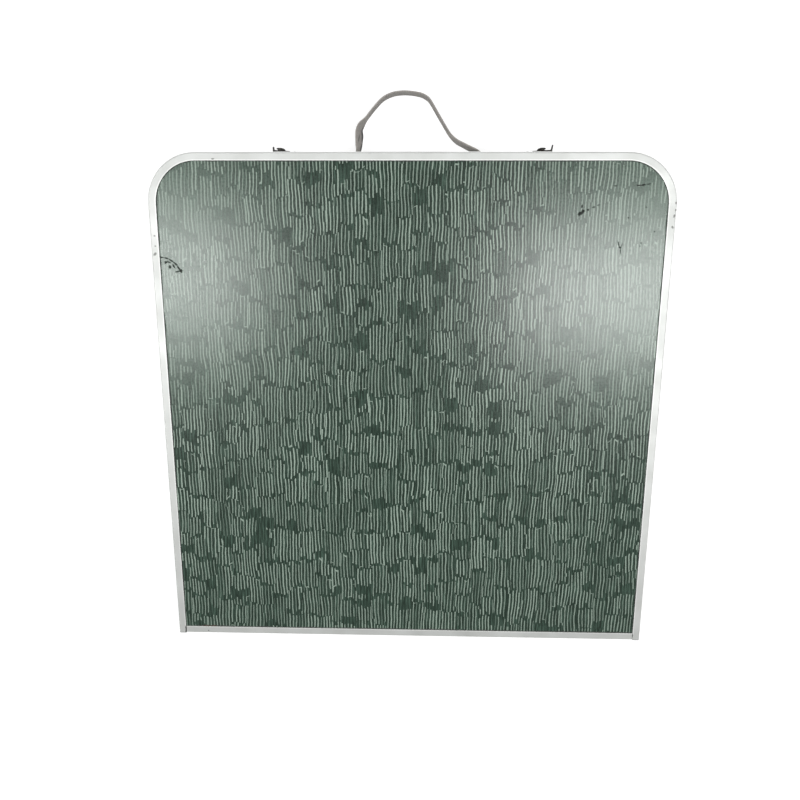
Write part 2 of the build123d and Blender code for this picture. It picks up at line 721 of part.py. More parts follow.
def bend_radii(points):
    """The largest even bends that a line of points allows, one for each inner point."""
    radii = []
    for before, here, after in zip(points, points[1:], points[2:]):
        run_in = Vector(*here) - Vector(*before)
        run_out = Vector(*after) - Vector(*here)
        half_turn = radians(run_in.get_angle(run_out)) / 2
        radii.append(strap_bend_share * min(run_in.length, run_out.length) / tan(half_turn))
    return radii


# Carrying strap: flat webbing laid along the rim at its ends, and looped up between them
with BuildPart() as handle_strap:
    strap_end_x = handle_x + handle_plate_length / 2
    strap_points = [(-strap_end_x, strap_y)]
    strap_points += [(strap_span / 2 * x, strap_y + strap_height * y) for x, y in strap_route_shares]
    strap_points += [(strap_end_x, strap_y)]
    with BuildSketch(Plane.XY.offset(strap_low)):
        with BuildLine():
            FilletPolyline(*strap_points, radius=bend_radii(strap_points))
        trace(line_width=strap_thickness)
    extrude(amount=strap_width)
    for x, z in handle_rivet_places:
        wall_bar(x, z, handle_y, plate_y, handle_rivet_radius + pin_clearance, Mode.SUBTRACT)
write(handle_strap, "handle_strap")

# Handle plates, which clamp the ends of the strap
with BuildPart() as handle_plates:
    for side in (-1, 1):
        plate_centre = (side * handle_x, plate_y, strap_low + strap_width / 2)
        with BuildSketch(Plane(origin=plate_centre, x_dir=(1, 0, 0), z_dir=(0, 1, 0))):
            RectangleRounded(handle_plate_length, handle_plate_width, handle_plate_corner)
        extrude(amount=handle_plate_thickness)
    for x, z in handle_rivet_places:
        wall_bar(x, z, handle_y, plate_y + cut_overrun, handle_rivet_radius + pin_clearance, Mode.SUBTRACT)
write(handle_plates, "handle_plates")

# Handle rivets through plate, strap and rim
with BuildPart() as handle_rivets:
    rivet_seat_y = plate_y + handle_plate_thickness
    for x, z in handle_rivet_places:
        wall_bar(x, z, rim_inner_y - handle_rivet_head, rim_inner_y, handle_rivet_head_radius)
        wall_bar(x, z, rim_inner_y, rivet_seat_y, handle_rivet_radius)
        wall_bar(x, z, rivet_seat_y, rivet_seat_y + handle_rivet_head, handle_rivet_head_radius)
    chamfer(handle_rivets.edges().group_by(Axis.Y)[-1], handle_rivet_head / 2)
write(handle_rivets, "handle_rivets")
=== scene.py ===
"""Looks of a card table that folds in half into a flat case with a carrying strap.

Lengths are written in millimetres and turned to metres by MM.
"""
import logging
from dataclasses import dataclass, field
from enum import Enum
from math import asin, cos, degrees, pi, radians, sin
from typing import Any, Iterable, NamedTuple, Optional

import bpy
import bmesh
from mathutils import Matrix, Vector


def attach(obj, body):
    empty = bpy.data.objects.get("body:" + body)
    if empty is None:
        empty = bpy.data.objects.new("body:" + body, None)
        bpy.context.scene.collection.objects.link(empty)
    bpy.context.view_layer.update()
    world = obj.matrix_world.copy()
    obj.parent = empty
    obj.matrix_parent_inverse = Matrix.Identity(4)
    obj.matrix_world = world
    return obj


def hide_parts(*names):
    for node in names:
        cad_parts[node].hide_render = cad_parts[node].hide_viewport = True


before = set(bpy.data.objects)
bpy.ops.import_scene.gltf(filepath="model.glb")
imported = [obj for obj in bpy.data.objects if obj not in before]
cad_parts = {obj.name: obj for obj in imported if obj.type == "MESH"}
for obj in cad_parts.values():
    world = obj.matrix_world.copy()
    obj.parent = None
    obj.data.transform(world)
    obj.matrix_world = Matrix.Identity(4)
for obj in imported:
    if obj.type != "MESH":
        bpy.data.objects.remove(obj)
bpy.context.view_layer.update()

log = logging.getLogger("card_table")
MM = 0.001


def linear(colour: str) -> tuple[float, float, float, float]:
    """Turn a colour to the linear values that shaders take.

    Args:
        colour: the colour as sRGB hex, such as "#3a483e".

    Returns:
        Red, green, blue and an alpha of one.
    """
    shares = [int(colour[i:i + 2], 16) / 255 for i in (1, 3, 5)]
    red, green, blue = (s / 12.92 if s <= 0.04045 else ((s + 0.055) / 1.055) ** 2.4 for s in shares)
    return red, green, blue, 1.0


class Graph:
    """The shader nodes of one material, laid down one after another."""

    def __init__(self, tree: bpy.types.NodeTree) -> None:
        """Start with an empty tree.

        Args:
            tree: the node tree to fill.
        """
        self.tree = tree
        tree.nodes.clear()

    def add(self, kind: str, *values: Any, sockets: Optional[dict] = None, result: Any = 0,
            **settings: Any) -> Optional[bpy.types.NodeSocket]:
        """Add a node with its settings and links.

        Args:
            kind: the node's type without its ShaderNode prefix and, after a full stop, its operation.
            values: sockets or constants for the first inputs, in order. None leaves an input as it is.
            sockets: sockets or constants for inputs by name or number.
            result: the name or number of the output to hand back.
            settings: further properties of the node.

        Returns:
            The chosen output, or None where the node has no output.
        """
        kind, _, operation = kind.partition(".")
        node = self.tree.nodes.new("ShaderNode" + kind)
        if operation:
            node.operation = operation
        for key, value in settings.items():
            setattr(node, key, value)
        for key, value in {**dict(enumerate(values)), **(sockets or {})}.items():
            if isinstance(value, bpy.types.NodeSocket):
                self.tree.links.new(value, node.inputs[key])
            elif value is not None:
                node.inputs[key].default_value = value
        return node.outputs[result] if node.outputs else None

    def millimetres(self) -> Any:
        """Give each place of the piece in millimetres."""
        return self.add("VectorMath.MULTIPLY", self.add("TexCoord", result="Object"), (1 / MM,) * 3)

    def draw(self, *key: Any, count: int = 3) -> list:
        """Draw random shares that are the same wherever the key is.

        Args:
            key: three sockets or constants.
            count: how many shares, three at most.

        Returns:
            The shares, from zero to one.
        """
        dice = self.add("TexWhiteNoise", self.add("CombineXYZ", *key), result="Color", noise_dimensions="3D")
        return [self.add("SeparateColor", dice, result=i) for i in range(count)]

    def coat(self, colour: Any, *coats: tuple[Any, str]) -> Any:
        """Lay colours over one another.

        Args:
            colour: the lowest colour.
            coats: the share and the sRGB hex of each colour above it, from below.

        Returns:
            The colour that is seen.
        """
        for share, shade in coats:
            colour = self.add("Mix", sockets={0: share, 6: colour, 7: linear(shade)},
                              data_type="RGBA", result=2)
        return colour

    def close(self, colour: Any, rough: Any, grain: Any, strength: float, depth: float, **more: Any) -> None:
        """Close the graph with a surface that a grain makes uneven.

        Args:
            colour: the surface's colour.
            rough: its roughness.
            grain: the height of the grain.
            strength: how plainly the grain shows.
            depth: how deep the grain is, in millimetres.
            more: further inputs of the surface, by name.
        """
        bump = self.add("Bump", sockets={"Strength": strength, "Distance": depth * MM, "Height": grain})
        self.add("OutputMaterial", self.add("BsdfPrincipled", sockets={
            "Base Color": colour, "Roughness": rough, "Normal": bump, **more}))


def new_graph(name: str) -> tuple[bpy.types.Material, Graph]:
    """Make a material and the graph that fills it.

    Args:
        name: the material's name.

    Returns:
        The material and its graph.
    """
    material = bpy.data.materials.new(name)
    material.use_nodes = True
    return material, Graph(material.node_tree)


class Half(Enum):
    """The two halves of the case, with the body that carries each."""

    LOWER = ("lower", "lower_half")
    UPPER = ("upper", "lid")

    @property
    def prefix(self) -> str:
        """The start of the names of this half's pieces."""
        return self.value[0]

    @property
    def body(self) -> str:
        """The body that carries this half's board."""
        return self.value[1]


@dataclass(frozen=True)
class LipLine:
    """Inner edge of the rim's lip, where the laminate comes out: a square with two rounded corners."""

    half: float = 290.5
    corner: float = 47.5

    def inside(self, graph: Graph, x: Any, y: Any) -> Any:
        """Measure how far inside the lip's edge a place is.

        Args:
            graph: the graph to add to.
            x: the place along the hinge.
            y: the place towards the handle.

        Returns:
            The distance, below zero on the lip itself.
        """
        straight = self.half - self.corner
        past = [graph.add("Math.MAXIMUM", graph.add("Math.SUBTRACT", value, straight), 0.0)
                for value in (graph.add("Math.ABSOLUTE", x), y)]
        bend = graph.add("VectorMath.LENGTH", graph.add("CombineXYZ", *past), result="Value")
        return graph.add("Math.MINIMUM", graph.add("Math.SUBTRACT", self.corner, bend),
                         graph.add("Math.ADD", y, self.half))


@dataclass(frozen=True)
class RaggedMarks:
    """Small ragged marks, such as scratches, knocks, stains, soiled joints and patches of painted shade:
    centre, half length, half width in millimetres, turn in degrees.
    """

    places: tuple
    depth: float = 0.9

    def mask(self, graph: Graph, x: Any, y: Any) -> Any:
        """Draw the marks.

        Args:
            graph: the graph to add to.
            x: the first measure of a place.
            y: the second.

        Returns:
            One in a mark, falling to zero round it.
        """
        flat = graph.add("CombineXYZ", x, y)
        nearest = None
        for left, up, long, wide, turn in self.places:
            local = graph.add("Mapping", flat, (left, up, 0), (0, 0, radians(turn)), (long, wide, 1),
                              vector_type="TEXTURE")
            away = graph.add("VectorMath.LENGTH", local, result="Value")
            nearest = graph.add("Math.MINIMUM", nearest, away) if nearest else away
        ragged = graph.add("TexNoise", sockets={"Vector": flat, "Scale": 0.9, "Detail": 3.0})
        edge = graph.add("Math.MULTIPLY_ADD", ragged, 1.4, nearest)
        return graph.add("MapRange", edge, 1.35, 1.85, self.depth, 0.0)


class PrintRows(NamedTuple):
    """Where a place lies in the print: its column counts strokes, its other measures are in millimetres."""

    across: Any
    row: Any
    in_row: Any
    length: Any
    strength: Any
    bare: list


@dataclass(frozen=True)
class PrintedLaminate:
    """Melamine laminate, pressed over a printed sheet: a satin skin with brush strokes of pale green ink."""

    seed: float
    marks: RaggedMarks
    stains: RaggedMarks
    name: str = "melamine_laminate_pressed"
    base: str = "#152a1e"
    streak: str = "#465e51"
    ink: str = "#9aab9e"
    # Painted glare: a paler veil over the print that stands for the softboxes' washed-out reflections at both
    # sides
    painted_glare: str = "#5d7866"
    # Colour of the painted shade along the lip, and of the scratches
    shade_and_scar: str = "#0c0d0b"
    stain: str = "#3a2a1c"
    # Where the painted glare lies, across from the middle and about its level, and where the ink is worn thin
    # by the hinge
    glare_aside: tuple = (110.0, 270.0, 0.0, 0.46)
    glare_level: float = 170.0
    glare_along: tuple = (70.0, 200.0, 1.0, 0.0)
    thin_aside: tuple = (100.0, 290.0, 0.12, 0.34)
    thin_along: tuple = (-120.0, -290.0, 0.0, 1.0)
    roughness: float = 0.27
    ior: float = 1.62
    pitch: float = 3.95
    lean: float = 9.0
    tremble: float = 1.7
    stroke_half_width: float = 0.62
    stroke_lean: float = 1.3
    raggedness: float = 0.8
    unbridged: float = 0.9
    patch_columns: float = 4.5
    row_length: float = 27.0
    row_stagger: float = 12.0
    bare_length: float = 17.0
    lip: LipLine = LipLine()

    def material(self) -> bpy.types.Material:
        """Build the material.

        Returns:
            The material with the print, the satin skin and its marks of use, with a painted glare at both
            sides and painted shade along the lip.
        """
        material, ink = new_graph(f"{self.name}_{self.seed:g}")
        mm = ink.millimetres()
        x, y = (ink.add("SeparateXYZ", mm, result=axis) for axis in range(2))
        rows = self.lay_rows(ink, mm, x, y)
        # The ink's edge is ragged by a quarter of a millimetre
        fine = ink.add("VectorMath.MULTIPLY", mm, (1 / 1.3, 1 / 4.5, 1))
        ragged = ink.add("TexNoise", sockets={"Vector": fine, "Scale": 1.0, "Detail": 2.0})
        ragged = ink.add("Math.MULTIPLY", ink.add("Math.SUBTRACT", ragged, 0.5), self.raggedness)
        strokes, aside = self.strokes(ink, rows, ragged)
        bridges = ink.add("Math.MULTIPLY", self.bridges(ink, rows, ragged), 0.9)
        # A painted glare pales the print at both sides, where the softboxes' reflections fall
        glare_share, gone = self.glare_and_rubbing(ink, x, y)
        printed = ink.add("Math.MULTIPLY", ink.add("Math.MAXIMUM", strokes, bridges),
                          ink.add("Math.SUBTRACT", 1.0, gone))
        # Dry streaks of thinned ink show in the gaps, most of them where a stroke ran out
        streaky = ink.add("VectorMath.MULTIPLY", mm, (1 / 0.9, 1 / 20, 1))
        dry = ink.add("TexNoise", sockets={"Vector": streaky, "Scale": 1.0, "Detail": 2.0})
        trail = ink.add("MapRange", ink.add("Math.ABSOLUTE", aside), 0.3, 1.0, 0.13, 0.0)
        dry = ink.add("MapRange", ink.add("Math.ADD", dry, trail), 0.47, 0.75, 0.0, 1.0)
        # The last coat is the painted glare
        colour = ink.coat(linear(self.base), (dry, self.streak), (printed, self.ink), (glare_share, self.painted_glare))
        colour, matt = self.shade_lip_and_scar(ink, mm, x, y, colour)
        # A pressed skin is slightly uneven and carries fine scuffs
        skin = ink.add("TexNoise", sockets={"Vector": mm, "Scale": 0.35, "Detail": 3.0})
        rough = ink.add("MapRange", skin, 0.3, 0.7, self.roughness - 0.03, self.roughness + 0.05)
        ink.close(colour, ink.add("Math.MULTIPLY_ADD", matt, 0.7, rough), skin, 0.025, 0.05, IOR=self.ior)
        return material

    def lay_rows(self, ink: Graph, mm: Any, x: Any, y: Any) -> PrintRows:
        """Part the sheet into columns one stroke wide, and patches of columns into rows.

        Args:
            ink: the graph of the laminate.
            mm: the place in millimetres.
            x: its share along the hinge.
            y: its share towards the handle.

        Returns:
            Where each place lies in its row.
        """
        # Strokes of a brush sway together: a slow lean of up to 5 degrees, and a tremble of under half a
        # millimetre
        sway = 0.0
        for size, wide, high, detail in ((self.tremble, 13, 15, 0.0), (self.lean, 60, 80, 1.0)):
            place = ink.add("VectorMath.MULTIPLY", mm, (1 / wide, 1 / high, 1))
            wave = ink.add("TexNoise", sockets={
                "Vector": place, "W": self.seed, "Scale": 1.0, "Detail": detail}, noise_dimensions="4D")
            sway = ink.add("Math.MULTIPLY_ADD", ink.add("Math.SUBTRACT", wave, 0.5), size, sway)
        across = ink.add("Math.DIVIDE", ink.add("Math.ADD", x, sway), self.pitch)
        column = ink.add("Math.FLOOR", across)
        drift, stagger = (ink.add("TexNoise", sockets={"Vector": ink.add(
            "CombineXYZ", ink.add("Math.MULTIPLY", side, pace), ink.add("Math.MULTIPLY", y, 1 / high), seed),
            "Scale": 1.0, "Detail": detail}) for side, pace, high, seed, detail in (
                (column, 0.08, 50, self.seed, 1.0), (across, 0.3, 60, self.seed + 5, 0.0)))
        # Neighbouring strokes start and end together, in patches of about five
        patch = ink.add("Math.FLOOR", ink.add("Math.MULTIPLY_ADD", column, 1 / self.patch_columns,
                                              ink.add("Math.MULTIPLY", drift, 1.6)))
        shift, stretch = ink.draw(patch, self.seed, 1.7, count=2)
        # Rows are 24 to 47 mm long, and each patch has its own
        length = ink.add("Math.MULTIPLY_ADD", stretch, self.row_length * 0.85, self.row_length * 0.9)
        along = ink.add("Math.DIVIDE", ink.add("Math.MULTIPLY_ADD", stagger, self.row_stagger, y), length)
        along = ink.add("Math.ADD", along, ink.add("Math.MULTIPLY", shift, 3.0))
        row = ink.add("Math.FLOOR", along)
        in_row = ink.add("Math.MULTIPLY", ink.add("Math.SUBTRACT", along, row), length)
        chance = ink.draw(patch, row, self.seed + 9)
        # The strokes of a row don't stand under those of the next
        across = ink.add("Math.MULTIPLY_ADD", ink.add("Math.ADD", chance[0], chance[2]), 3.0, across)
        # One row in seven starts bare, and as many end so
        bare = [ink.add("MapRange", share, 0.85, 1.0, 0.0, self.bare_length) for share in chance[:2]]
        return PrintRows(across, row, in_row, length, chance[2], bare)

    def strokes(self, ink: Graph, rows: PrintRows, ragged: Any) -> tuple[Any, Any]:
        """Brush a stroke down the middle of each column of each row: a capsule with a lean of its own.

        Args:
            ink: the graph of the laminate.
            rows: where each place lies in its row.
            ragged: how far the ink's edge strays, in millimetres.

        Returns:
            The share of ink, and how far a place is from the middle of its stroke, in millimetres.
        """
        column = ink.add("Math.FLOOR", rows.across)
        chance = ink.draw(column, rows.row, self.seed)
        gaps = self.end_gaps(ink, chance, rows.bare)
        half_width = ink.add("Math.MULTIPLY_ADD", chance[2], 0.4, self.stroke_half_width - 0.18)
        inset = [ink.add("Math.ADD", gap, ink.add("Math.MULTIPLY", half_width, 0.8)) for gap in gaps]
        below = ink.add("Math.SUBTRACT", inset[0], rows.in_row)
        above = ink.add("Math.SUBTRACT", rows.in_row, ink.add("Math.SUBTRACT", rows.length, inset[1]))
        beyond = ink.add("Math.MAXIMUM", ink.add("Math.MAXIMUM", below, above), 0.0)
        lean = ink.add("Math.MULTIPLY", ink.add("Math.SUBTRACT", chance[1], 0.5), self.stroke_lean)
        halfway = ink.add("Math.SUBTRACT", ink.add("Math.DIVIDE", rows.in_row, rows.length), 0.5)
        aside = ink.add("Math.SUBTRACT", ink.add("Math.SUBTRACT", rows.across, column), 0.5)
        aside = ink.add("Math.ADD", ink.add("Math.MULTIPLY", aside, self.pitch),
                        ink.add("Math.MULTIPLY", lean, halfway))
        away = ink.add("VectorMath.LENGTH", ink.add("CombineXYZ", aside, beyond, 0.0), result="Value")
        depth = ink.add("Math.ADD", ink.add("Math.SUBTRACT", half_width, away), ragged)
        stroke = ink.add("MapRange", depth, -0.1, 0.2, 0.0, 1.0, interpolation_type="SMOOTHSTEP")
        # Rows differ in strength, and the thinnest strokes are faint
        strength = ink.add("MapRange", rows.strength, 0.0, 0.7, 0.62, 1.0)
        faint = ink.add("MapRange", chance[2], 0.0, 0.25, 0.5, 1.0)
        return ink.add("Math.MULTIPLY", stroke, ink.add("Math.MULTIPLY", strength, faint)), aside

    def bridges(self, ink: Graph, rows: PrintRows, ragged: Any) -> Any:
        """Join one pair of neighbours in ten at an end by a slanting bridge of ink, thin or blotted.

        Args:
            ink: the graph of the laminate.
            rows: where each place lies in its row.
            ragged: how far the ink's edge strays, in millimetres.

        Returns:
            The share of ink.
        """
        seam = ink.add("Math.FLOOR", ink.add("Math.ADD", rows.across, 0.5))
        off_seam = ink.add("Math.MULTIPLY", ink.add("Math.SUBTRACT", rows.across, seam), self.pitch)
        sides = [self.end_gaps(ink, ink.draw(ink.add("Math.ADD", seam, step), rows.row, self.seed, count=2),
                               rows.bare) for step in (-1.0, 0.0)]
        starts, ends = (ink.add("Math.MAXIMUM", *pair) for pair in zip(*sides))
        chosen, slant, end = ink.draw(seam, rows.row, self.seed + 2)
        slope = ink.add("Math.MULTIPLY", ink.add("Math.ADD", slant, -0.5), 1.4)
        # Half of the bridges are at the strokes' first ends and half at their last
        from_end = ink.add("Mix", sockets={
            0: ink.add("Math.GREATER_THAN", end, 0.5),
            2: ink.add("Math.SUBTRACT", ink.add("Math.SUBTRACT", rows.length, rows.in_row), ends),
            3: ink.add("Math.SUBTRACT", rows.in_row, starts)}, data_type="FLOAT")
        off_bridge = ink.add("Math.SUBTRACT", from_end, ink.add("Math.MULTIPLY", slope, off_seam))
        off_bridge = ink.add("Math.ABSOLUTE", ink.add("Math.SUBTRACT", off_bridge, 0.9))
        thick = ink.add("Math.MULTIPLY_ADD", ink.add("Math.POWER", slant, 6.0), 0.9, 0.3)
        inside = ink.add("Math.ADD", ink.add("Math.SUBTRACT", thick, off_bridge), ragged)
        bridge = ink.add("MapRange", inside, -0.15, 0.15, 0.0, 1.0, interpolation_type="SMOOTHSTEP")
        return ink.add("Math.MULTIPLY", bridge, ink.add("Math.GREATER_THAN", chosen, self.unbridged))

    def end_gaps(self, ink: Graph, chance: list, bare: list) -> list:
        """Work out how far a stroke's two ends stay from the ends of its row.

        Args:
            ink: the graph of the laminate.
            chance: two random shares of the stroke.
            bare: the gaps that its whole patch keeps.

        Returns:
            The gaps before and after the stroke in millimetres: most small, a few up to half of the row.
            Where a patch is left bare, one stroke in five still crosses it.
        """
        kept = [ink.add("MapRange", share, 0.1, 0.3, 0.15, 1.0) for share in reversed(chance[:2])]
        return [ink.add("Math.MULTIPLY_ADD", ink.add("Math.POWER", share, 3.0), 5.5,
                        ink.add("Math.MULTIPLY", gap, keep)) for share, gap, keep in zip(chance, bare, kept)]

    def glare_and_rubbing(self, ink: Graph, x: Any, y: Any) -> tuple[Any, Any]:
        """Work out where a painted glare pales the print at the sides, and where hands and cards have worn
        the ink thin by the hinge.

        Args:
            ink: the graph of the laminate.
            x: the place along the hinge in millimetres.
            y: the place towards the handle.

        Returns:
            The share of the painted glare, and the share of the ink that is gone.
        """
        aside = ink.add("Math.ABSOLUTE", x)
        level = ink.add("Math.ABSOLUTE", ink.add("Math.SUBTRACT", y, self.glare_level))
        glare_share, gone = (ink.add("Math.MULTIPLY", ink.add("MapRange", aside, *by_side),
                              ink.add("MapRange", place, *along)) for by_side, place, along in (
            (self.glare_aside, level, self.glare_along), (self.thin_aside, y, self.thin_along)))
        return glare_share, gone

    def shade_lip_and_scar(self, ink: Graph, mm: Any, x: Any, y: Any, colour: Any) -> tuple[Any, Any]:
        """Paint shade in a patchy band along the lip of the rim, where the laminate meets it, and draw the
        scratches and stains.

        Args:
            ink: the graph of the laminate.
            mm: the place in millimetres.
            x: its share along the hinge.
            y: its share towards the handle.
            colour: the clean print's colour.

        Returns:
            The colour with the painted shade, the scratches and the stains, and the share of the gloss that
            they break.
        """
        # Painted shade along the lip's edge, in a band of patchy reach, which also makes the skin matt there
        patchy = ink.add("TexNoise", sockets={"Vector": mm, "Scale": 0.05, "Detail": 3.0})
        reach = ink.add("MapRange", patchy, 0.3, 0.7, 0.5, 1.7)
        inside = ink.add("Math.DIVIDE", self.lip.inside(ink, x, y), reach)
        lip_shade = ink.add("MapRange", inside, 0.4, 1.2, 0.85, 0.0)
        coats = ((lip_shade, self.shade_and_scar), (self.marks.mask(ink, x, y), self.shade_and_scar),
                 (self.stains.mask(ink, x, y), self.stain))
        matt = 0.0
        for mask, _ in coats:
            matt = ink.add("Math.MAXIMUM", matt, mask)
        return ink.coat(colour, *coats), matt


@dataclass(frozen=True)
class DrawnMetal:
    """A drawn or rolled metal: fine lines along the drawing direction, with dull, handled patches."""

    name: str
    colour: str
    worn: str
    roughness: float
    line_scale: tuple[float, float, float]
    line_depth: float = 0.01

    def material(self) -> bpy.types.Material:
        """Build the material.

        Returns:
            The metal with its drawing lines and patches.
        """
        material, metal = new_graph(self.name)
        mm = metal.millimetres()
        stretched = metal.add("VectorMath.MULTIPLY", mm, self.line_scale)
        lines = metal.add("TexNoise", sockets={"Vector": stretched, "Scale": 1.0, "Detail": 3.0})
        patches = metal.add("TexNoise", sockets={"Vector": mm, "Scale": 0.03, "Detail": 4.0})
        dull = metal.add("MapRange", patches, 0.35, 0.7, 0.0, 1.0)
        colour, polish = self.wear_and_highlights(metal, mm, metal.coat(linear(self.colour), (dull, self.worn)))
        rough = metal.add("MapRange", lines, 0.3, 0.7, self.roughness - 0.05, self.roughness + 0.07)
        rough = metal.add("Math.MULTIPLY", rough, metal.add("Math.SUBTRACT", 1.0, polish))
        metal.close(colour, rough, lines, 0.3, self.line_depth, Metallic=1.0)
        return material

    def wear_and_highlights(self, metal: Graph, mm: Any, colour: Any) -> tuple[Any, Any]:
        """Leave the colour and the polish as they are: plain metals show their age in their patches alone."""
        return colour, 0.0


@dataclass(frozen=True)
class LippedChannel(DrawnMetal):
    """Drawn aluminium channel with painted highlights along its lip's edges, a few knocks and soiled joints.
    """

    knocks: RaggedMarks = RaggedMarks(())
    soils: RaggedMarks = RaggedMarks(())
    lip: LipLine = LipLine()
    # The painted highlight stands for the light that the lip's rounded edges catch
    painted_highlight: str = "#f3f4f2"
    highlight_width: float = 1.3
    knocked: str = "#8b8c88"
    soiled: str = "#1d1c1a"
    half_depth: float = 32.0
    outer_polish: float = 0.6

    def wear_and_highlights(self, metal: Graph, mm: Any, colour: Any) -> tuple[Any, Any]:
        """Paint highlights on the lip's two edges, and lay the knocks and the soiled joints.

        Args:
            metal: the graph of the metal.
            mm: the place in millimetres.
            colour: the colour so far.

        Returns:
            The colour with the painted edge highlights and the knocks, and the share of the roughness that
            hands have polished away.
        """
        x, y, z = (metal.add("SeparateXYZ", mm, result=axis) for axis in range(3))
        off = metal.add("Math.MULTIPLY", self.lip.inside(metal, x, y), -1.0)
        # Painted highlights along the lip's inner edge and round its outer edge; the outer edge is also
        # polished smoother
        inner = metal.add("MapRange", off, self.highlight_width * 0.6, self.highlight_width, 1.0, 0.0)
        level = metal.add("Math.ABSOLUTE", metal.add("Math.SUBTRACT", z, self.half_depth))
        outer = metal.add("Math.MULTIPLY", metal.add("MapRange", off, 8.4, 8.9, 0.0, 1.0),
                          metal.add("MapRange", level, 30.2, 30.9, 0.0, 1.0))
        colour = metal.coat(colour, (metal.add("Math.MAXIMUM", inner, outer), self.painted_highlight),
                            (self.knocks.mask(metal, x, y), self.knocked),
                            (self.soils.mask(metal, x, y), self.soiled))
        return colour, metal.add("Math.MULTIPLY", outer, self.outer_polish)


@dataclass(frozen=True)
class Moulding:
    """A moulded polymer with a finely pebbled skin."""

    name: str
    colour: str
    scuffed: str
    roughness: float
    grain: float = 0.6

    def material(self) -> bpy.types.Material:
        """Build the material.

        Returns:
            The polymer with its pebbled skin and scuffs.
        """
        material, polymer = new_graph(self.name)
        mm = polymer.millimetres()
        pebbles = polymer.add("TexNoise", sockets={"Vector": mm, "Scale": 1 / self.grain, "Detail": 2.0})
        scuffs = polymer.add("TexNoise", sockets={"Vector": mm, "Scale": 0.12, "Detail": 5.0})
        worn = polymer.add("MapRange", scuffs, 0.5, 0.75, 0.0, 1.0)
        colour = polymer.coat(linear(self.colour), (worn, self.scuffed))
        polymer.close(colour, self.roughness, pebbles, 0.25, 0.08)
        return material


@dataclass(frozen=True)
class PressedFibreBoard:
    """Hardboard, wood fibres pressed hot: brown, smooth and faintly mottled."""

    name: str = "hardboard_pressed_fibre"
    colour: str = "#8a6a4b"
    dark: str = "#6d5038"
    roughness: float = 0.6
    fibre: float = 1.2

    def material(self) -> bpy.types.Material:
        """Build the material.

        Returns:
            The board with its fibres and mottling.
        """
        material, board = new_graph(self.name)
        mm = board.millimetres()
        fibres = board.add("TexNoise", sockets={"Vector": mm, "Scale": 1 / self.fibre, "Detail": 4.0,
                                                "Distortion": 1.5})
        clouds = board.add("TexNoise", sockets={"Vector": mm, "Scale": 0.02, "Detail": 3.0})
        mixed = board.add("Math.MULTIPLY_ADD", fibres, 0.6, board.add("Math.MULTIPLY", clouds, 0.6))
        shade = board.add("MapRange", mixed, 0.4, 0.8, 0.0, 1.0)
        colour = board.coat(linear(self.dark), (shade, self.colour))
        board.close(colour, self.roughness, fibres, 0.2, 0.1)
        return material


@dataclass(frozen=True)
class WovenWebbing:
    """Cotton and nylon webbing, plain woven: grey-brown, with ribs across and threads along it."""

    name: str = "webbing_woven"
    colour: str = "#c2bcb6"
    dark: str = "#54504c"
    painted_fold_shade: str = "#171514"
    roughness: float = 0.85
    sheen: float = 0.25
    rib: float = 1.9
    thread: float = 1.3
    # Patches of painted shade where the strap twists near its first end: along, across, half length, half
    # width, turn
    marks: RaggedMarks = RaggedMarks(((68, -11, 12, 7.5, 0), (51, -8.5, 8, 5, 0), (62, 3, 5, 1.2, -15)), 1.0)

    def material(self) -> bpy.types.Material:
        """Build the material.

        Returns:
            The webbing with its weave, laid by the mesh's own measure along and across it.
        """
        material, cloth = new_graph(self.name)
        mm = cloth.add("VectorMath.MULTIPLY", cloth.add("UVMap", uv_map="weave"), (1 / MM,) * 3)
        along, across = (cloth.add("SeparateXYZ", mm, result=axis) for axis in range(2))
        weave = cloth.add("Math.MULTIPLY", *(
            cloth.add("Math.SINE", cloth.add("Math.MULTIPLY", measure, 2 * pi / pitch))
            for measure, pitch in ((along, self.rib), (across, self.thread))))
        fuzz = cloth.add("TexNoise", sockets={"Vector": mm, "Scale": 1.6, "Detail": 3.0})
        height = cloth.add("Math.MULTIPLY_ADD", fuzz, 1.2, weave)
        shade = cloth.add("MapRange", height, -0.9, 1.6, 0.0, 1.0)
        # Painted shade darkens the twisted stretch near the strap's first end, where its face turns from the
        # lamps
        fold_shade = self.marks.mask(cloth, along, across)
        colour = cloth.coat(linear(self.dark), (shade, self.colour), (fold_shade, self.painted_fold_shade))
        cloth.close(colour, self.roughness, height, 0.7, 0.25, **{"Sheen Weight": self.sheen})
        return material


@dataclass(frozen=True)
class PaleFloor:
    """Painted studio floor, matt white: the object's shadow falls on it and its edge is never seen."""

    name: str = "studio_floor_painted"
    glow: float = 0.8
    paint: str = "#a8a8a8"

    def material(self) -> bpy.types.Material:
        """Build the material.

        Returns:
            Paint that the camera and mirrors see as a white page with a faint shadow.
        """
        material, page = new_graph(self.name)
        camera, mirror, glass = (page.add("LightPath", result=f"Is {ray} Ray")
                                 for ray in ("Camera", "Glossy", "Transmission"))
        seen = page.add("Math.MAXIMUM", page.add("Math.MAXIMUM", camera, mirror), glass)
        paint = page.add("BsdfDiffuse", linear(self.paint))
        glow = page.add("Emission", (1, 1, 1, 1), page.add("Math.MULTIPLY", seen, self.glow))
        page.add("OutputMaterial", page.add("AddShader", paint, glow))
        return material


def round_edges(piece: bpy.types.Object, width: float, corner: float) -> bpy.types.Modifier:
    """Round a piece's sharp edges.

    Args:
        piece: the piece.
        width: the width of the rounding in millimetres.
        corner: the least angle at an edge that is rounded, in degrees.

    Returns:
        The modifier that rounds them.
    """
    rounding = piece.modifiers.new("edge", "BEVEL")
    rounding.width = width * MM
    rounding.segments = 2
    rounding.limit_method = "ANGLE"
    rounding.angle_limit = radians(corner)
    return rounding


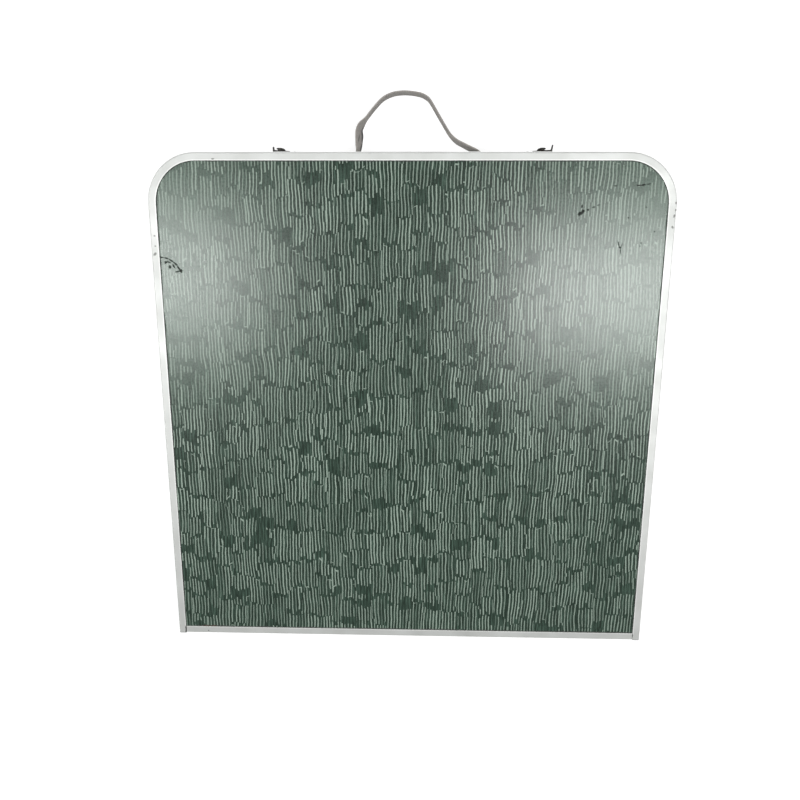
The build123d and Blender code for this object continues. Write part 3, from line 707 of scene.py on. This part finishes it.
def dress(nodes: Iterable[str], material: bpy.types.Material, edge: float = 0.0) -> None:
    """Give carried-over pieces their material, and round their sharp edges.

    Args:
        nodes: the pieces' names.
        material: the material that they get.
        edge: the width of the rounding in millimetres, or zero for none.
    """
    for name in nodes:
        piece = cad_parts[name]
        piece.data.materials.clear()
        piece.data.materials.append(material)
        if edge:
            join = piece.modifiers.new("join", "WELD")
            join.merge_threshold = 0.001 * MM
            # Flat faces become whole before their edges are rounded
            whole = piece.modifiers.new("whole", "DECIMATE")
            whole.decimate_type = "DISSOLVE"
            whole.angle_limit = radians(0.1)
            rounding = round_edges(piece, edge, 40)
            rounding.use_clamp_overlap = False
            rounding.harden_normals = True
        log.info("dressed %s with %s", name, material.name)


# Each mark is a centre, a half length, a half width and a turn. The scars and stains are on the laminates,
# the knocks and soils on the rims
SCARS = {
    Half.UPPER: (
        (-288.9, 183.4, 3, 0.9, -8), (-283.1, 182.4, 3.2, 0.8, -12), (-277.5, 179.7, 3.4, 0.9, -32),
        (-272.5, 175.8, 3.2, 1, -42), (-269.2, 171.2, 2.8, 1.1, -55), (-267, 168, 2.2, 1.9, -50),
        (-280.6, 178, 2.6, 0.7, -25), (-274.9, 173.3, 2.6, 1, -60), (-279.4, 172.3, 1.6, 1.9, 0),
        (-284, 177.4, 1.7, 1.3, 20), (-271.3, 166.9, 2.6, 0.8, 10), (192.5, 233.4, 3.6, 2, 35),
        (195.5, 236, 2.1, 1.9, 0), (194, 241.3, 0.9, 2.2, -10), (200.9, 237.5, 1.2, 1.4, 0),
        (206.8, 240.3, 1.8, 0.8, 20), (212.2, 242.7, 1.6, 0.7, 25), (230, 263.4, 2, 0.7, 0),
        (256.2, 264, 3.4, 0.9, 0), (261.1, 264.5, 2.4, 1.1, 10), (266.7, 265.5, 2.6, 0.6, 10),
        (237.7, 200, 0.6, 3.6, 20), (239.8, 196.1, 1.5, 1.1, 0), (240.5, 191.6, 0.6, 3.4, 0),
        (241.5, 198.9, 0.5, 2.4, -15), (265.6, 240.4, 1, 0.8, 0), (246.7, 228.8, 1, 1, 0),
        (263.1, 201.1, 0.8, 0.8, 0), (262, 197.5, 0.7, 0.7, 0), (277.2, 213.7, 0.8, 0.8, 0),
    ),
    Half.LOWER: (
        (121, -203, 5, 0.8, 24), (134, -196, 3, 0.6, 30), (-226, 41, 2.2, 1.2, -40),
        (-61, 228, 1.4, 1, 0), (248, 96, 3.2, 0.7, 75),
    ),
}
STAINS = {
    Half.UPPER: ((-262.9, -290.3, 6.5, 1.5, 0), (-253.7, -290, 4.5, 1.2, 0)),
    Half.LOWER: ((180, -289.5, 7, 1.4, 0),),
}
KNOCKS = {
    Half.UPPER: (
        (298.4, 245, 1.3, 1.5, 0), (298.6, 237.4, 1.2, 1.1, 0), (297.5, 231, 1.2, 2, -20),
        (296.5, 218.6, 1.3, 1.7, 30), (-294.6, 207.7, 1.2, 1, 0), (-294.4, 196, 1, 0.9, 0),
        (-295.5, 187, 2.6, 1.5, 40), (-222.1, 292.1, 1.8, 0.9, 0), (-261, -296.3, 0.9, 0.9, 0),
    ),
    Half.LOWER: ((-296, 60, 1.2, 2.4, 0), (120, 296.5, 2, 1.1, 10), (297, -170, 1.1, 1.6, 0)),
}
SOILS = {
    Half.UPPER: (
        (-290.7, -292.9, 3.4, 0.95, 90), (-290.8, -297.4, 3.4, 0.9, 90), (290.6, -293.4, 2.2, 0.4, 90),
    ),
    Half.LOWER: ((290.7, -294, 3.6, 0.9, 90), (-290.6, -296, 2.6, 0.4, 90)),
}


@dataclass
class Studio:
    """Camera, lamps and floor. Places are in millimetres in the part's frame."""

    camera_place: tuple[float, float, float] = (10.68, 202.74, 885.70)
    camera_aim: tuple[float, float, float] = (-10.65, 15.90, 64.0)
    camera_roll: float = 0.16
    camera_lens: float = 31.5
    softboxes: tuple = (((-885.0, 88.0, 1500.0), 9.6), ((672.0, 50.0, 1500.0), 10.4))
    softbox_size: tuple[float, float] = (400.0, 720.0)
    # Height in the sky from and to, and the light's level there
    walls: tuple = (0.15, 0.75, 0.95, 0.28)
    overhead: tuple = (0.9, 0.98, 1.0, 0.4)
    floor_radius: float = 8000.0

    def place_camera(self) -> None:
        """Stand the camera where the photograph was taken from."""
        data = bpy.data.cameras.new("camera")
        data.sensor_width = 36.0
        data.lens = self.camera_lens
        data.clip_start = 0.01
        camera = bpy.data.objects.new("camera", data)
        bpy.context.scene.collection.objects.link(camera)
        place, aim = Vector(self.camera_place) * MM, Vector(self.camera_aim) * MM
        back = (place - aim).normalized()
        right = Vector((0, 1, 0)).cross(back).normalized()
        up = back.cross(right)
        turn = Matrix((right, up, back)).transposed()
        camera.matrix_world = (Matrix.Translation(place) @ turn.to_4x4()
                               @ Matrix.Rotation(radians(self.camera_roll), 4, "Z"))
        bpy.context.scene.camera = camera

    def light(self) -> None:
        """Hang two softboxes whose reflections fall on the sides of the laminate, under an even sky."""
        for number, (place, power) in enumerate(self.softboxes):
            data = bpy.data.lights.new(f"softbox_{number}", "AREA")
            data.shape = "RECTANGLE"
            data.size, data.size_y = (s * MM for s in self.softbox_size)
            data.energy = power
            lamp = bpy.data.objects.new(data.name, data)
            lamp.location = Vector(place) * MM
            lamp.rotation_euler = (-lamp.location).to_track_quat("-Z", "Y").to_euler()
            bpy.context.scene.collection.objects.link(lamp)
        world = bpy.data.worlds.new("studio")
        world.use_nodes = True
        bpy.context.scene.world = world
        # White walls and a dimmer ceiling, dimmest overhead
        sky = Graph(world.node_tree)
        height = sky.add("SeparateXYZ", sky.add("TexCoord", result="Generated"), result="Z")
        level = sky.add("Math.MULTIPLY", *(
            sky.add("MapRange", height, *span) for span in (self.walls, self.overhead)))
        sky.add("OutputWorld", sky.add("Background", (1, 1, 1, 1), level))

    def lay_floor(self) -> None:
        """Lay the floor that the case rests on."""
        mesh = bpy.data.meshes.new("floor")
        build = bmesh.new()
        bmesh.ops.create_circle(build, cap_ends=True, segments=64, radius=self.floor_radius * MM)
        build.to_mesh(mesh)
        build.free()
        floor = bpy.data.objects.new("floor", mesh)
        mesh.materials.append(PaleFloor().material())
        bpy.context.scene.collection.objects.link(floor)

    def build(self) -> None:
        """Set up the whole studio."""
        bpy.context.scene.view_settings.view_transform = "Standard"
        self.place_camera()
        self.light()
        self.lay_floor()
        log.info("studio ready")


@dataclass
class Workshop:
    """The materials, each made once."""

    rims: dict = field(default_factory=lambda: {half: LippedChannel(
        f"aluminium_channel_satin_{half.prefix}", "#dfe1df", "#d6d8d5", 0.6, (0.02, 0.02, 2.5),
        knocks=RaggedMarks(KNOCKS[half]), soils=RaggedMarks(SOILS[half])).material() for half in Half})
    hinge: bpy.types.Material = field(default_factory=DrawnMetal(
        "aluminium_hinge_rolled", "#c4c5c3", "#aeb0ad", 0.42, (0.03, 1.0, 1.5)).material)
    tube: bpy.types.Material = field(default_factory=DrawnMetal(
        "aluminium_tube_drawn", "#c2c4c5", "#aeb1b2", 0.3, (1.2, 0.02, 1.2)).material)
    zinc: bpy.types.Material = field(default_factory=DrawnMetal(
        "steel_zinc_plated", "#a6a9ab", "#85837c", 0.4, (0.5, 0.5, 0.5), 0.003).material)
    blackened: bpy.types.Material = field(default_factory=DrawnMetal(
        "steel_blackened", "#4c4b48", "#33312f", 0.42, (0.6, 0.6, 0.6)).material)
    board: bpy.types.Material = field(default_factory=PressedFibreBoard().material)
    nylon: bpy.types.Material = field(default_factory=Moulding(
        "nylon_moulded", "#17181a", "#2b2c2e", 0.45).material)
    rubber: bpy.types.Material = field(default_factory=Moulding(
        "rubber_moulded", "#1c1b1a", "#3a3733", 0.7, 0.9).material)
    webbing: bpy.types.Material = field(default_factory=WovenWebbing().material)


@dataclass
class TabletopHalf:
    """One half of the top: laminate on a board, framed by the bent channel and the hinge rail."""

    half: Half
    seed: float

    def dress(self, shop: Workshop) -> None:
        """Dress the pieces of this half.

        Args:
            shop: the materials.
        """
        name = self.half.prefix
        dress([f"{name}_laminate"],
              PrintedLaminate(self.seed, RaggedMarks(SCARS[self.half]), RaggedMarks(STAINS[self.half])).material())
        dress([f"{name}_core_board"], shop.board)
        dress([f"{name}_edge_rim", f"{name}_hinge_rail"], shop.rims[self.half])
        steel = [f"{name}_{piece}" for piece in ("corner_brackets", "leg_brackets", "leg_pivot_pins")]
        dress(steel, shop.zinc, 0.3)


@dataclass
class CaseHinge:
    """The continuous hinge: two leaves, their rivets and the pin."""

    def dress(self, shop: Workshop) -> None:
        """Dress the hinge.

        Args:
            shop: the materials.
        """
        dress(["lower_hinge_leaf", "upper_hinge_leaf"], shop.hinge)
        dress(["hinge_pin"], shop.zinc)
        dress(["lower_hinge_leaf_rivets", "upper_hinge_leaf_rivets"], shop.tube, 0.2)


@dataclass
class LegFrame:
    """A pair of telescoping legs with stretcher, feet and twist-lock collars, and its braces."""

    half: Half

    def dress(self, shop: Workshop) -> None:
        """Dress the legs and the braces.

        Args:
            shop: the materials.
        """
        name = self.half.prefix
        for piece, material, edge in (
                ("leg_tube", shop.tube, 0.0), ("inner_tube", shop.tube, 0.0),
                ("lock_collar", shop.nylon, 0.2), ("foot", shop.rubber, 0.2),
                ("brace_strut", shop.zinc, 0.3), ("brace_track", shop.zinc, 0.2)):
            dress([f"{name}_{piece}_{side}" for side in ("left", "right")], material, edge)
        dress([f"{name}_leg_stretcher"], shop.tube)
        dress([f"{name}_brace_pivot_pins", f"{name}_brace_rod"], shop.zinc, 0.3)


def place_mesh(name: str, build: bmesh.types.BMesh, material: bpy.types.Material, body: str,
               replaced: str) -> bpy.types.Object:
    """Make a piece of a built mesh, in the place of a CAD node.

    Args:
        name: the piece's name.
        build: the mesh in millimetres, freed here.
        material: what it is made of.
        body: the body that it rides on.
        replaced: the CAD node that it stands for.

    Returns:
        The piece.
    """
    bmesh.ops.scale(build, vec=(MM,) * 3, verts=build.verts)
    bmesh.ops.recalc_face_normals(build, faces=build.faces)
    mesh = bpy.data.meshes.new(name)
    build.to_mesh(mesh)
    build.free()
    piece = bpy.data.objects.new(name, mesh)
    bpy.context.scene.collection.objects.link(piece)
    for data in (mesh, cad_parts[replaced].data):
        data.materials.clear()
        data.materials.append(material)
    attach(piece, body)
    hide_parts(replaced)
    log.info("built %s in place of %s", name, replaced)
    return piece


def arc(centre: tuple[float, float], radius: float, angles: Iterable[float]) -> list[tuple[float, float]]:
    """Set out points round a centre, one at each angle in degrees."""
    return [(centre[0] + radius * cos(radians(a)), centre[1] + radius * sin(radians(a))) for a in angles]


def ring_edges(build: bmesh.types.BMesh, ring: list) -> list[bmesh.types.BMEdge]:
    """Find or make the edges from each corner of a ring to the next."""
    return [build.edges.get(pair) or build.edges.new(pair) for pair in zip(ring, ring[1:] + ring[:1])]


def wall_rings(build: bmesh.types.BMesh, rings: list, smooth: bool = False) -> None:
    """Close the sides between rings of corners, each ring to the next.

    Args:
        build: the mesh to add to.
        rings: the rings, all with as many corners.
        smooth: whether the sides are shaded as one curved surface.
    """
    for low, high in zip(rings, rings[1:]):
        for i in range(len(low)):
            after = (i + 1) % len(low)
            corners = dict.fromkeys((low[i], low[after], high[after], high[i]))
            build.faces.new(list(corners)).smooth = smooth


def turn_profile(build: bmesh.types.BMesh, profile: Iterable[tuple[float, float]], foot: Vector,
                 axis: Vector, segments: int = 32) -> list[bmesh.types.BMVert]:
    """Turn a profile round an axis, as on a lathe. Millimetres.

    Args:
        build: the mesh to add to.
        profile: radius and height of each corner, from one end of the axis to the other.
        foot: where height is zero.
        axis: the direction of the axis.
        segments: how many sides the turned piece gets.

    Returns:
        The last ring of corners.
    """
    stand = axis.to_track_quat("Z", "Y")
    rings = []
    for radius, height in profile:
        spots = arc((0, 0), radius, (360 * i / segments for i in range(segments if radius else 1)))
        ring = [build.verts.new(foot + stand @ Vector((*spot, height))) for spot in spots]
        rings.append(ring if radius else ring * segments)
    wall_rings(build, rings, smooth=True)
    return rings[-1]


@dataclass
class FittingScrews:
    """Round-headed cross-recess screws that hold one half's ears and tracks to its board. Millimetres."""

    half: Half
    rows: tuple = (((220.75,), (-77.12, 60.09, 197.3), 7.5), ((230.5, 269.5), (-270.0, -250.0), 8.0))
    profile: tuple = ((0.0, -4.9), (1.6, -4.5), (1.6, 0.0), (3.2, 0.0), (3.2, 0.5), (3.1, 0.8), (2.8, 1.15),
                      (2.45, 1.4), (2.0, 1.55))
    segments: int = 20
    arm_long: float = 1.6
    arm_wide: float = 0.42
    sunk: tuple = ((1.0, 0.0), (0.6, 0.9))
    case_depth: float = 64.0

    def build(self, shop: Workshop) -> None:
        """Turn the screws and put them in the CAD screws' place.

        Args:
            shop: the materials.
        """
        build = bmesh.new()
        upper = self.half is Half.UPPER
        axis = Vector((0, 0, -1 if upper else 1))
        for places_x, places_y, seat in self.rows:
            for x in places_x + tuple(-x for x in places_x):
                for y in places_y:
                    foot = Vector((x, y, self.case_depth - seat if upper else seat))
                    ring = turn_profile(build, self.profile, foot, axis, self.segments)
                    self.sink_cross(build, ring, foot, axis)
        place_mesh(f"{self.half.prefix}_screws_turned", build, shop.zinc, self.half.body,
                   f"{self.half.prefix}_fitting_screws")

    def sink_cross(self, build: bmesh.types.BMesh, ring: list, foot: Vector, axis: Vector) -> None:
        """Close a screw's head with a flat top that has a cross recess.

        Args:
            build: the mesh to add to.
            ring: the head's last ring of corners.
            foot: the middle of the head's seat.
            axis: the direction in which the screw looks.
        """
        # Each screw's recess is turned by an angle set by its place across the board
        turn = radians((foot.x * 7 + foot.y * 3) % 90)
        long, wide = self.arm_long, self.arm_wide
        cross = [(a * cos(q) - b * sin(q), a * sin(q) + b * cos(q))
                 for q in (turn + pi / 2 * i for i in range(4))
                 for a, b in ((wide, wide), (wide, long), (-wide, long))]
        top = self.profile[-1][1]
        loops = [[build.verts.new(foot + Vector((a * share, b * share, 0)) + axis * (top - depth))
                  for a, b in cross] for share, depth in self.sunk]
        edges = ring_edges(build, loops[0]) + ring_edges(build, ring)
        bmesh.ops.triangle_fill(build, use_beauty=True, use_dissolve=False, edges=edges)
        wall_rings(build, loops)
        build.faces.new(loops[1])


@dataclass
class LatchPair:
    """The two latch hooks with their pivots and studs, and the plates that hold the strap. Millimetres."""

    spacing: float = 302.0
    height: float = 26.0
    drop: float = 35.0
    wall: float = 300.0
    plate_front: float = 303.0
    plate: float = 2.0
    boss_radius: float = 6.0
    bore_radius: float = 2.6
    arm_tip: float = 19.5
    arm_half: float = 5.0
    corner: float = 3.0
    # Across to the tab, how far it reaches and how far it leans, for the left latch and the right
    tabs: tuple = ((-1, "left", (8.4, 5.6, 0.2)), (1, "right", (11.4, 7.6, 1.1)))
    tab: float = 1.3
    tab_low: float = 4.2
    tab_high: float = 10.6
    tab_sunk: float = 0.3
    tab_taper: float = 0.9
    notch_radius: float = 12.0
    notch_half: float = 2.3
    pivot_profile: tuple = (
        (0.0, -2.7), (4.5, -2.7), (4.5, -1.5), (2.0, -1.5), (2.0, 0.0), (4.5, 0.0), (4.5, 2.7), (2.5, 2.7),
        (2.5, 5.3), (4.1, 5.3), (4.45, 5.6), (4.45, 5.9), (4.2, 6.5), (3.6, 7.15), (2.8, 7.65), (2.0, 7.9),
        (1.6, 7.8), (1.3, 7.2), (0.7, 6.9), (0.0, 6.85),
    )

    def tilt(self, along: float, over: float) -> tuple[float, float]:
        """Turn a place between the level hook's own axes and those of the hook that hangs undone.

        Args:
            along: how far along the hook's arm, or outwards from the pivot.
            over: how far across the arm, or up.

        Returns:
            The place in the other axes: out and up, or along and across. The way back is the same.
        """
        lean = radians(self.drop)
        return -along * cos(lean) - over * sin(lean), -along * sin(lean) + over * cos(lean)

    def outline(self, tab_across: float) -> list[tuple[float, float]]:
        """Draw the hook's outline round its pivot, with the arm level and pointing along the first axis.

        Args:
            tab_across: how far the thumb tab stands from the pivot.

        Returns:
            The corners, counter-clockwise from the lever's lower edge.
        """
        tip, side = self.arm_tip - self.corner, self.arm_half - self.corner
        outer, inner = self.notch_radius + self.notch_half, self.notch_radius - self.notch_half
        mouth = [degrees(asin(self.arm_half / radius)) for radius in (outer, inner)]
        return [self.tilt(tab_across, self.tab_low),
                *arc((0, 0), self.boss_radius, range(-150, -89, 12)),
                *arc((tip, -side), self.corner, range(-90, 1, 15)),
                *arc((tip, side), self.corner, range(0, 91, 15)),
                *arc((0, 0), outer, (mouth[0] * (1 - i / 5) for i in range(5))),
                *arc((self.notch_radius, 0), self.notch_half, range(0, -181, -20)),
                *arc((0, 0), inner, (mouth[1] * i / 5 for i in range(1, 6))),
                *arc((0, 0), self.boss_radius, range(60, 136, 15)),
                self.tilt(tab_across, self.tab_high)]

    def build_hook(self, side: int, name: str, tab: tuple[float, float, float], shop: Workshop) -> None:
        """Press a hook out of sheet and fold its thumb tab.

        Args:
            side: minus one for the left latch and one for the right.
            name: the latch's side as a word, with which the names of its node and body end.
            tab: how far outwards the tab is, how far it reaches and how far it leans.
            shop: the materials.
        """
        build = bmesh.new()

        def corner(across: float, up: float, out: float) -> bmesh.types.BMVert:
            """Put a corner beside the pivot."""
            return build.verts.new(
                (side * (self.spacing / 2 + across), self.plate_front + out, self.height + up))

        tab_across, tab_reach, tab_lean = tab
        lines = self.outline(tab_across), arc((0, 0), self.bore_radius, range(0, 360, 15))
        faces = [[[corner(*self.tilt(*spot), out) for spot in line] for line in lines]
                 for out in (0.0, self.plate)]
        for loops in faces:
            edges = [edge for loop in loops for edge in ring_edges(build, loop)]
            bmesh.ops.triangle_fill(build, use_beauty=True, use_dissolve=False, edges=edges)
        for walls in zip(*faces):
            wall_rings(build, walls)
        # The tab is folded outwards along a line that stands upright while the hook hangs, and leans a little
        fold = []
        for out, share in ((self.tab_sunk, 0.0), (self.plate, 0.0), (tab_reach * 0.6, 0.5), (tab_reach, 1.0)):
            near = tab_across - self.tab + tab_lean * share
            far, taper = near + self.tab, self.tab_taper * share ** 3
            low, high = self.tab_low + taper, self.tab_high - taper
            fold.append([corner(*spot, out) for spot in ((near, low), (far, low), (far, high), (near, high))])
        wall_rings(build, fold)
        for end in (fold[0], fold[-1]):
            build.faces.new(end)
        piece = place_mesh(f"latch_hook_{name}_pressed", build, shop.blackened, f"latch_{name}",
                           f"latch_hook_{name}")
        round_edges(piece, 0.25, 50)

    def dress(self, shop: Workshop) -> None:
        """Build the hooks and their rivets, and dress the studs and the strap's plates.

        Args:
            shop: the materials.
        """
        pivots = bmesh.new()
        for side, name, tab in self.tabs:
            self.build_hook(side, name, tab, shop)
            foot = Vector((side * self.spacing / 2, self.wall, self.height))
            turn_profile(pivots, self.pivot_profile, foot, Vector((0, 1, 0)))
        place_mesh("latch_pivots_turned", pivots, shop.blackened, "lower_half",
                   "latch_pivots")
        dress(["latch_studs"], shop.blackened, 0.2)
        dress(["handle_plates", "handle_rivets"], shop.zinc, 0.2)


@dataclass
class CarryingStrap:
    """Flat webbing laid under the plates at its ends and looped up between them. Millimetres."""

    line: tuple = (
        (-107.5, 300.9), (-95.0, 300.9), (-80.0, 300.9), (-70.0, 300.95), (-65.0, 301.6), (-62.2, 304.4),
        (-61.3, 312.0), (-60.6, 322.0), (-59.7, 332.0), (-51.6, 342.6), (-39.9, 356.3), (-31.0, 364.2),
        (-19.0, 368.9), (-4.5, 369.9), (10.3, 367.9), (17.5, 364.7), (22.4, 360.3), (31.5, 345.9),
        (39.8, 332.7), (46.0, 323.6), (53.0, 317.0), (61.3, 312.6), (69.6, 308.6), (77.0, 305.3),
        (83.5, 301.8), (89.5, 300.9), (98.0, 300.9), (107.5, 300.9),
    )
    # How far along, and the turn there in degrees
    twist: tuple = ((0, 0), (38, 0), (46, -6), (57, -15), (66, -19), (76, -12), (88, 0), (150, 0), (175, -1),
                    (215, -1), (235, -5), (250, -6), (262, -3), (268, 0), (400, 0))
    low: float = 5.0
    width: float = 22.0
    thickness: float = 1.8
    step: float = 1.5
    smoothing: int = 16

    def course(self) -> list[tuple[Vector, Vector]]:
        """Follow the strap's line smoothly.

        Returns:
            Points along the middle of the webbing with the direction there, evenly spaced.
        """
        knots = [Vector((x, y, self.low + self.width / 2)) for x, y in self.line]
        dense: list[Vector] = []
        for i in range(len(knots) - 1):
            before, here = knots[max(i - 1, 0)], knots[i]
            after, beyond = knots[i + 1], knots[min(i + 2, len(knots) - 1)]
            for t in (k / self.smoothing for k in range(self.smoothing)):
                dense.append(0.5 * (2 * here + (after - before) * t
                                    + (2 * before - 5 * here + 4 * after - beyond) * t ** 2
                                    + (3 * here - before - 3 * after + beyond) * t ** 3))
        dense.append(knots[-1])
        spaced, left = [dense[0]], self.step
        for here, after in zip(dense, dense[1:]):
            run = (after - here).length
            while run >= left:
                here = here + (after - here) * (left / run)
                run = (after - here).length
                spaced.append(here.copy())
                left = self.step
            left -= run
        spaced.append(dense[-1])
        ahead = [(b - a).normalized() for a, b in zip([spaced[0]] + spaced[:-1], spaced[1:] + [spaced[-1]])]
        return list(zip(spaced, ahead))

    def section(self) -> list[tuple[float, float]]:
        """Draw the webbing's section: flat, with rounded selvedges.

        Returns:
            Points round the section, across the width and through the thickness.
        """
        half, thick = self.width / 2, self.thickness / 2
        top = [(w * half, thick * (1.0 if abs(w) < 0.9 else 0.86)) for w in
               (-0.94, -0.75, -0.5, -0.25, 0.0, 0.25, 0.5, 0.75, 0.94)]
        edge = [(half, thick * 0.45), (half, -thick * 0.45)]
        under = [(w, -t) for w, t in reversed(top)]
        return top + edge + under + [(-w, t) for w, t in edge]

    def turn_at(self, run: float) -> float:
        """Read the twist's table.

        Args:
            run: how far along the strap, in millimetres.

        Returns:
            The turn about the strap's own line in radians.
        """
        for (a, turn_a), (b, turn_b) in zip(self.twist, self.twist[1:]):
            if a <= run <= b:
                ease = (run - a) / (b - a)
                ease = ease * ease * (3 - 2 * ease)
                return radians(turn_a + (turn_b - turn_a) * ease)
        return 0.0

    def build(self, shop: Workshop) -> None:
        """Sweep the webbing and put it in the CAD strap's place.

        Args:
            shop: the materials.
        """
        section = self.section()
        build = bmesh.new()
        lay = build.loops.layers.uv.new("weave")
        rings = []
        for number, (point, ahead) in enumerate(self.course()):
            turn = self.turn_at(number * self.step)
            side = Vector((0, 0, 1))
            out = ahead.cross(side).normalized()
            side, out = side * cos(turn) + out * sin(turn), out * cos(turn) - side * sin(turn)
            rings.append([build.verts.new(point + side * w + out * t) for w, t in section])
        count = len(section)
        for number in range(len(rings) - 1):
            for k in range(count):
                after = (k + 1) % count
                corners = ((number, k), (number + 1, k), (number + 1, after), (number, after))
                face = build.faces.new([rings[i][j] for i, j in corners])
                face.smooth = True
                for loop, (i, j) in zip(face.loops, corners):
                    loop[lay].uv = (i * self.step * MM, section[j][0] * MM)
        build.faces.new(reversed(rings[0]))
        build.faces.new(rings[-1])
        place_mesh("strap_webbing", build, shop.webbing, "lower_half", "handle_strap")


def main() -> None:
    """Build the studio and dress the table, piece by piece."""
    logging.basicConfig(level=logging.INFO, format="%(name)s: %(message)s")
    Studio().build()
    shop = Workshop()
    TabletopHalf(Half.UPPER, 3.0).dress(shop)
    TabletopHalf(Half.LOWER, 11.0).dress(shop)
    CaseHinge().dress(shop)
    for half in Half:
        LegFrame(half).dress(shop)
        FittingScrews(half).build(shop)
    LatchPair().dress(shop)
    CarryingStrap().build(shop)


if __name__ == "__main__":
    main()
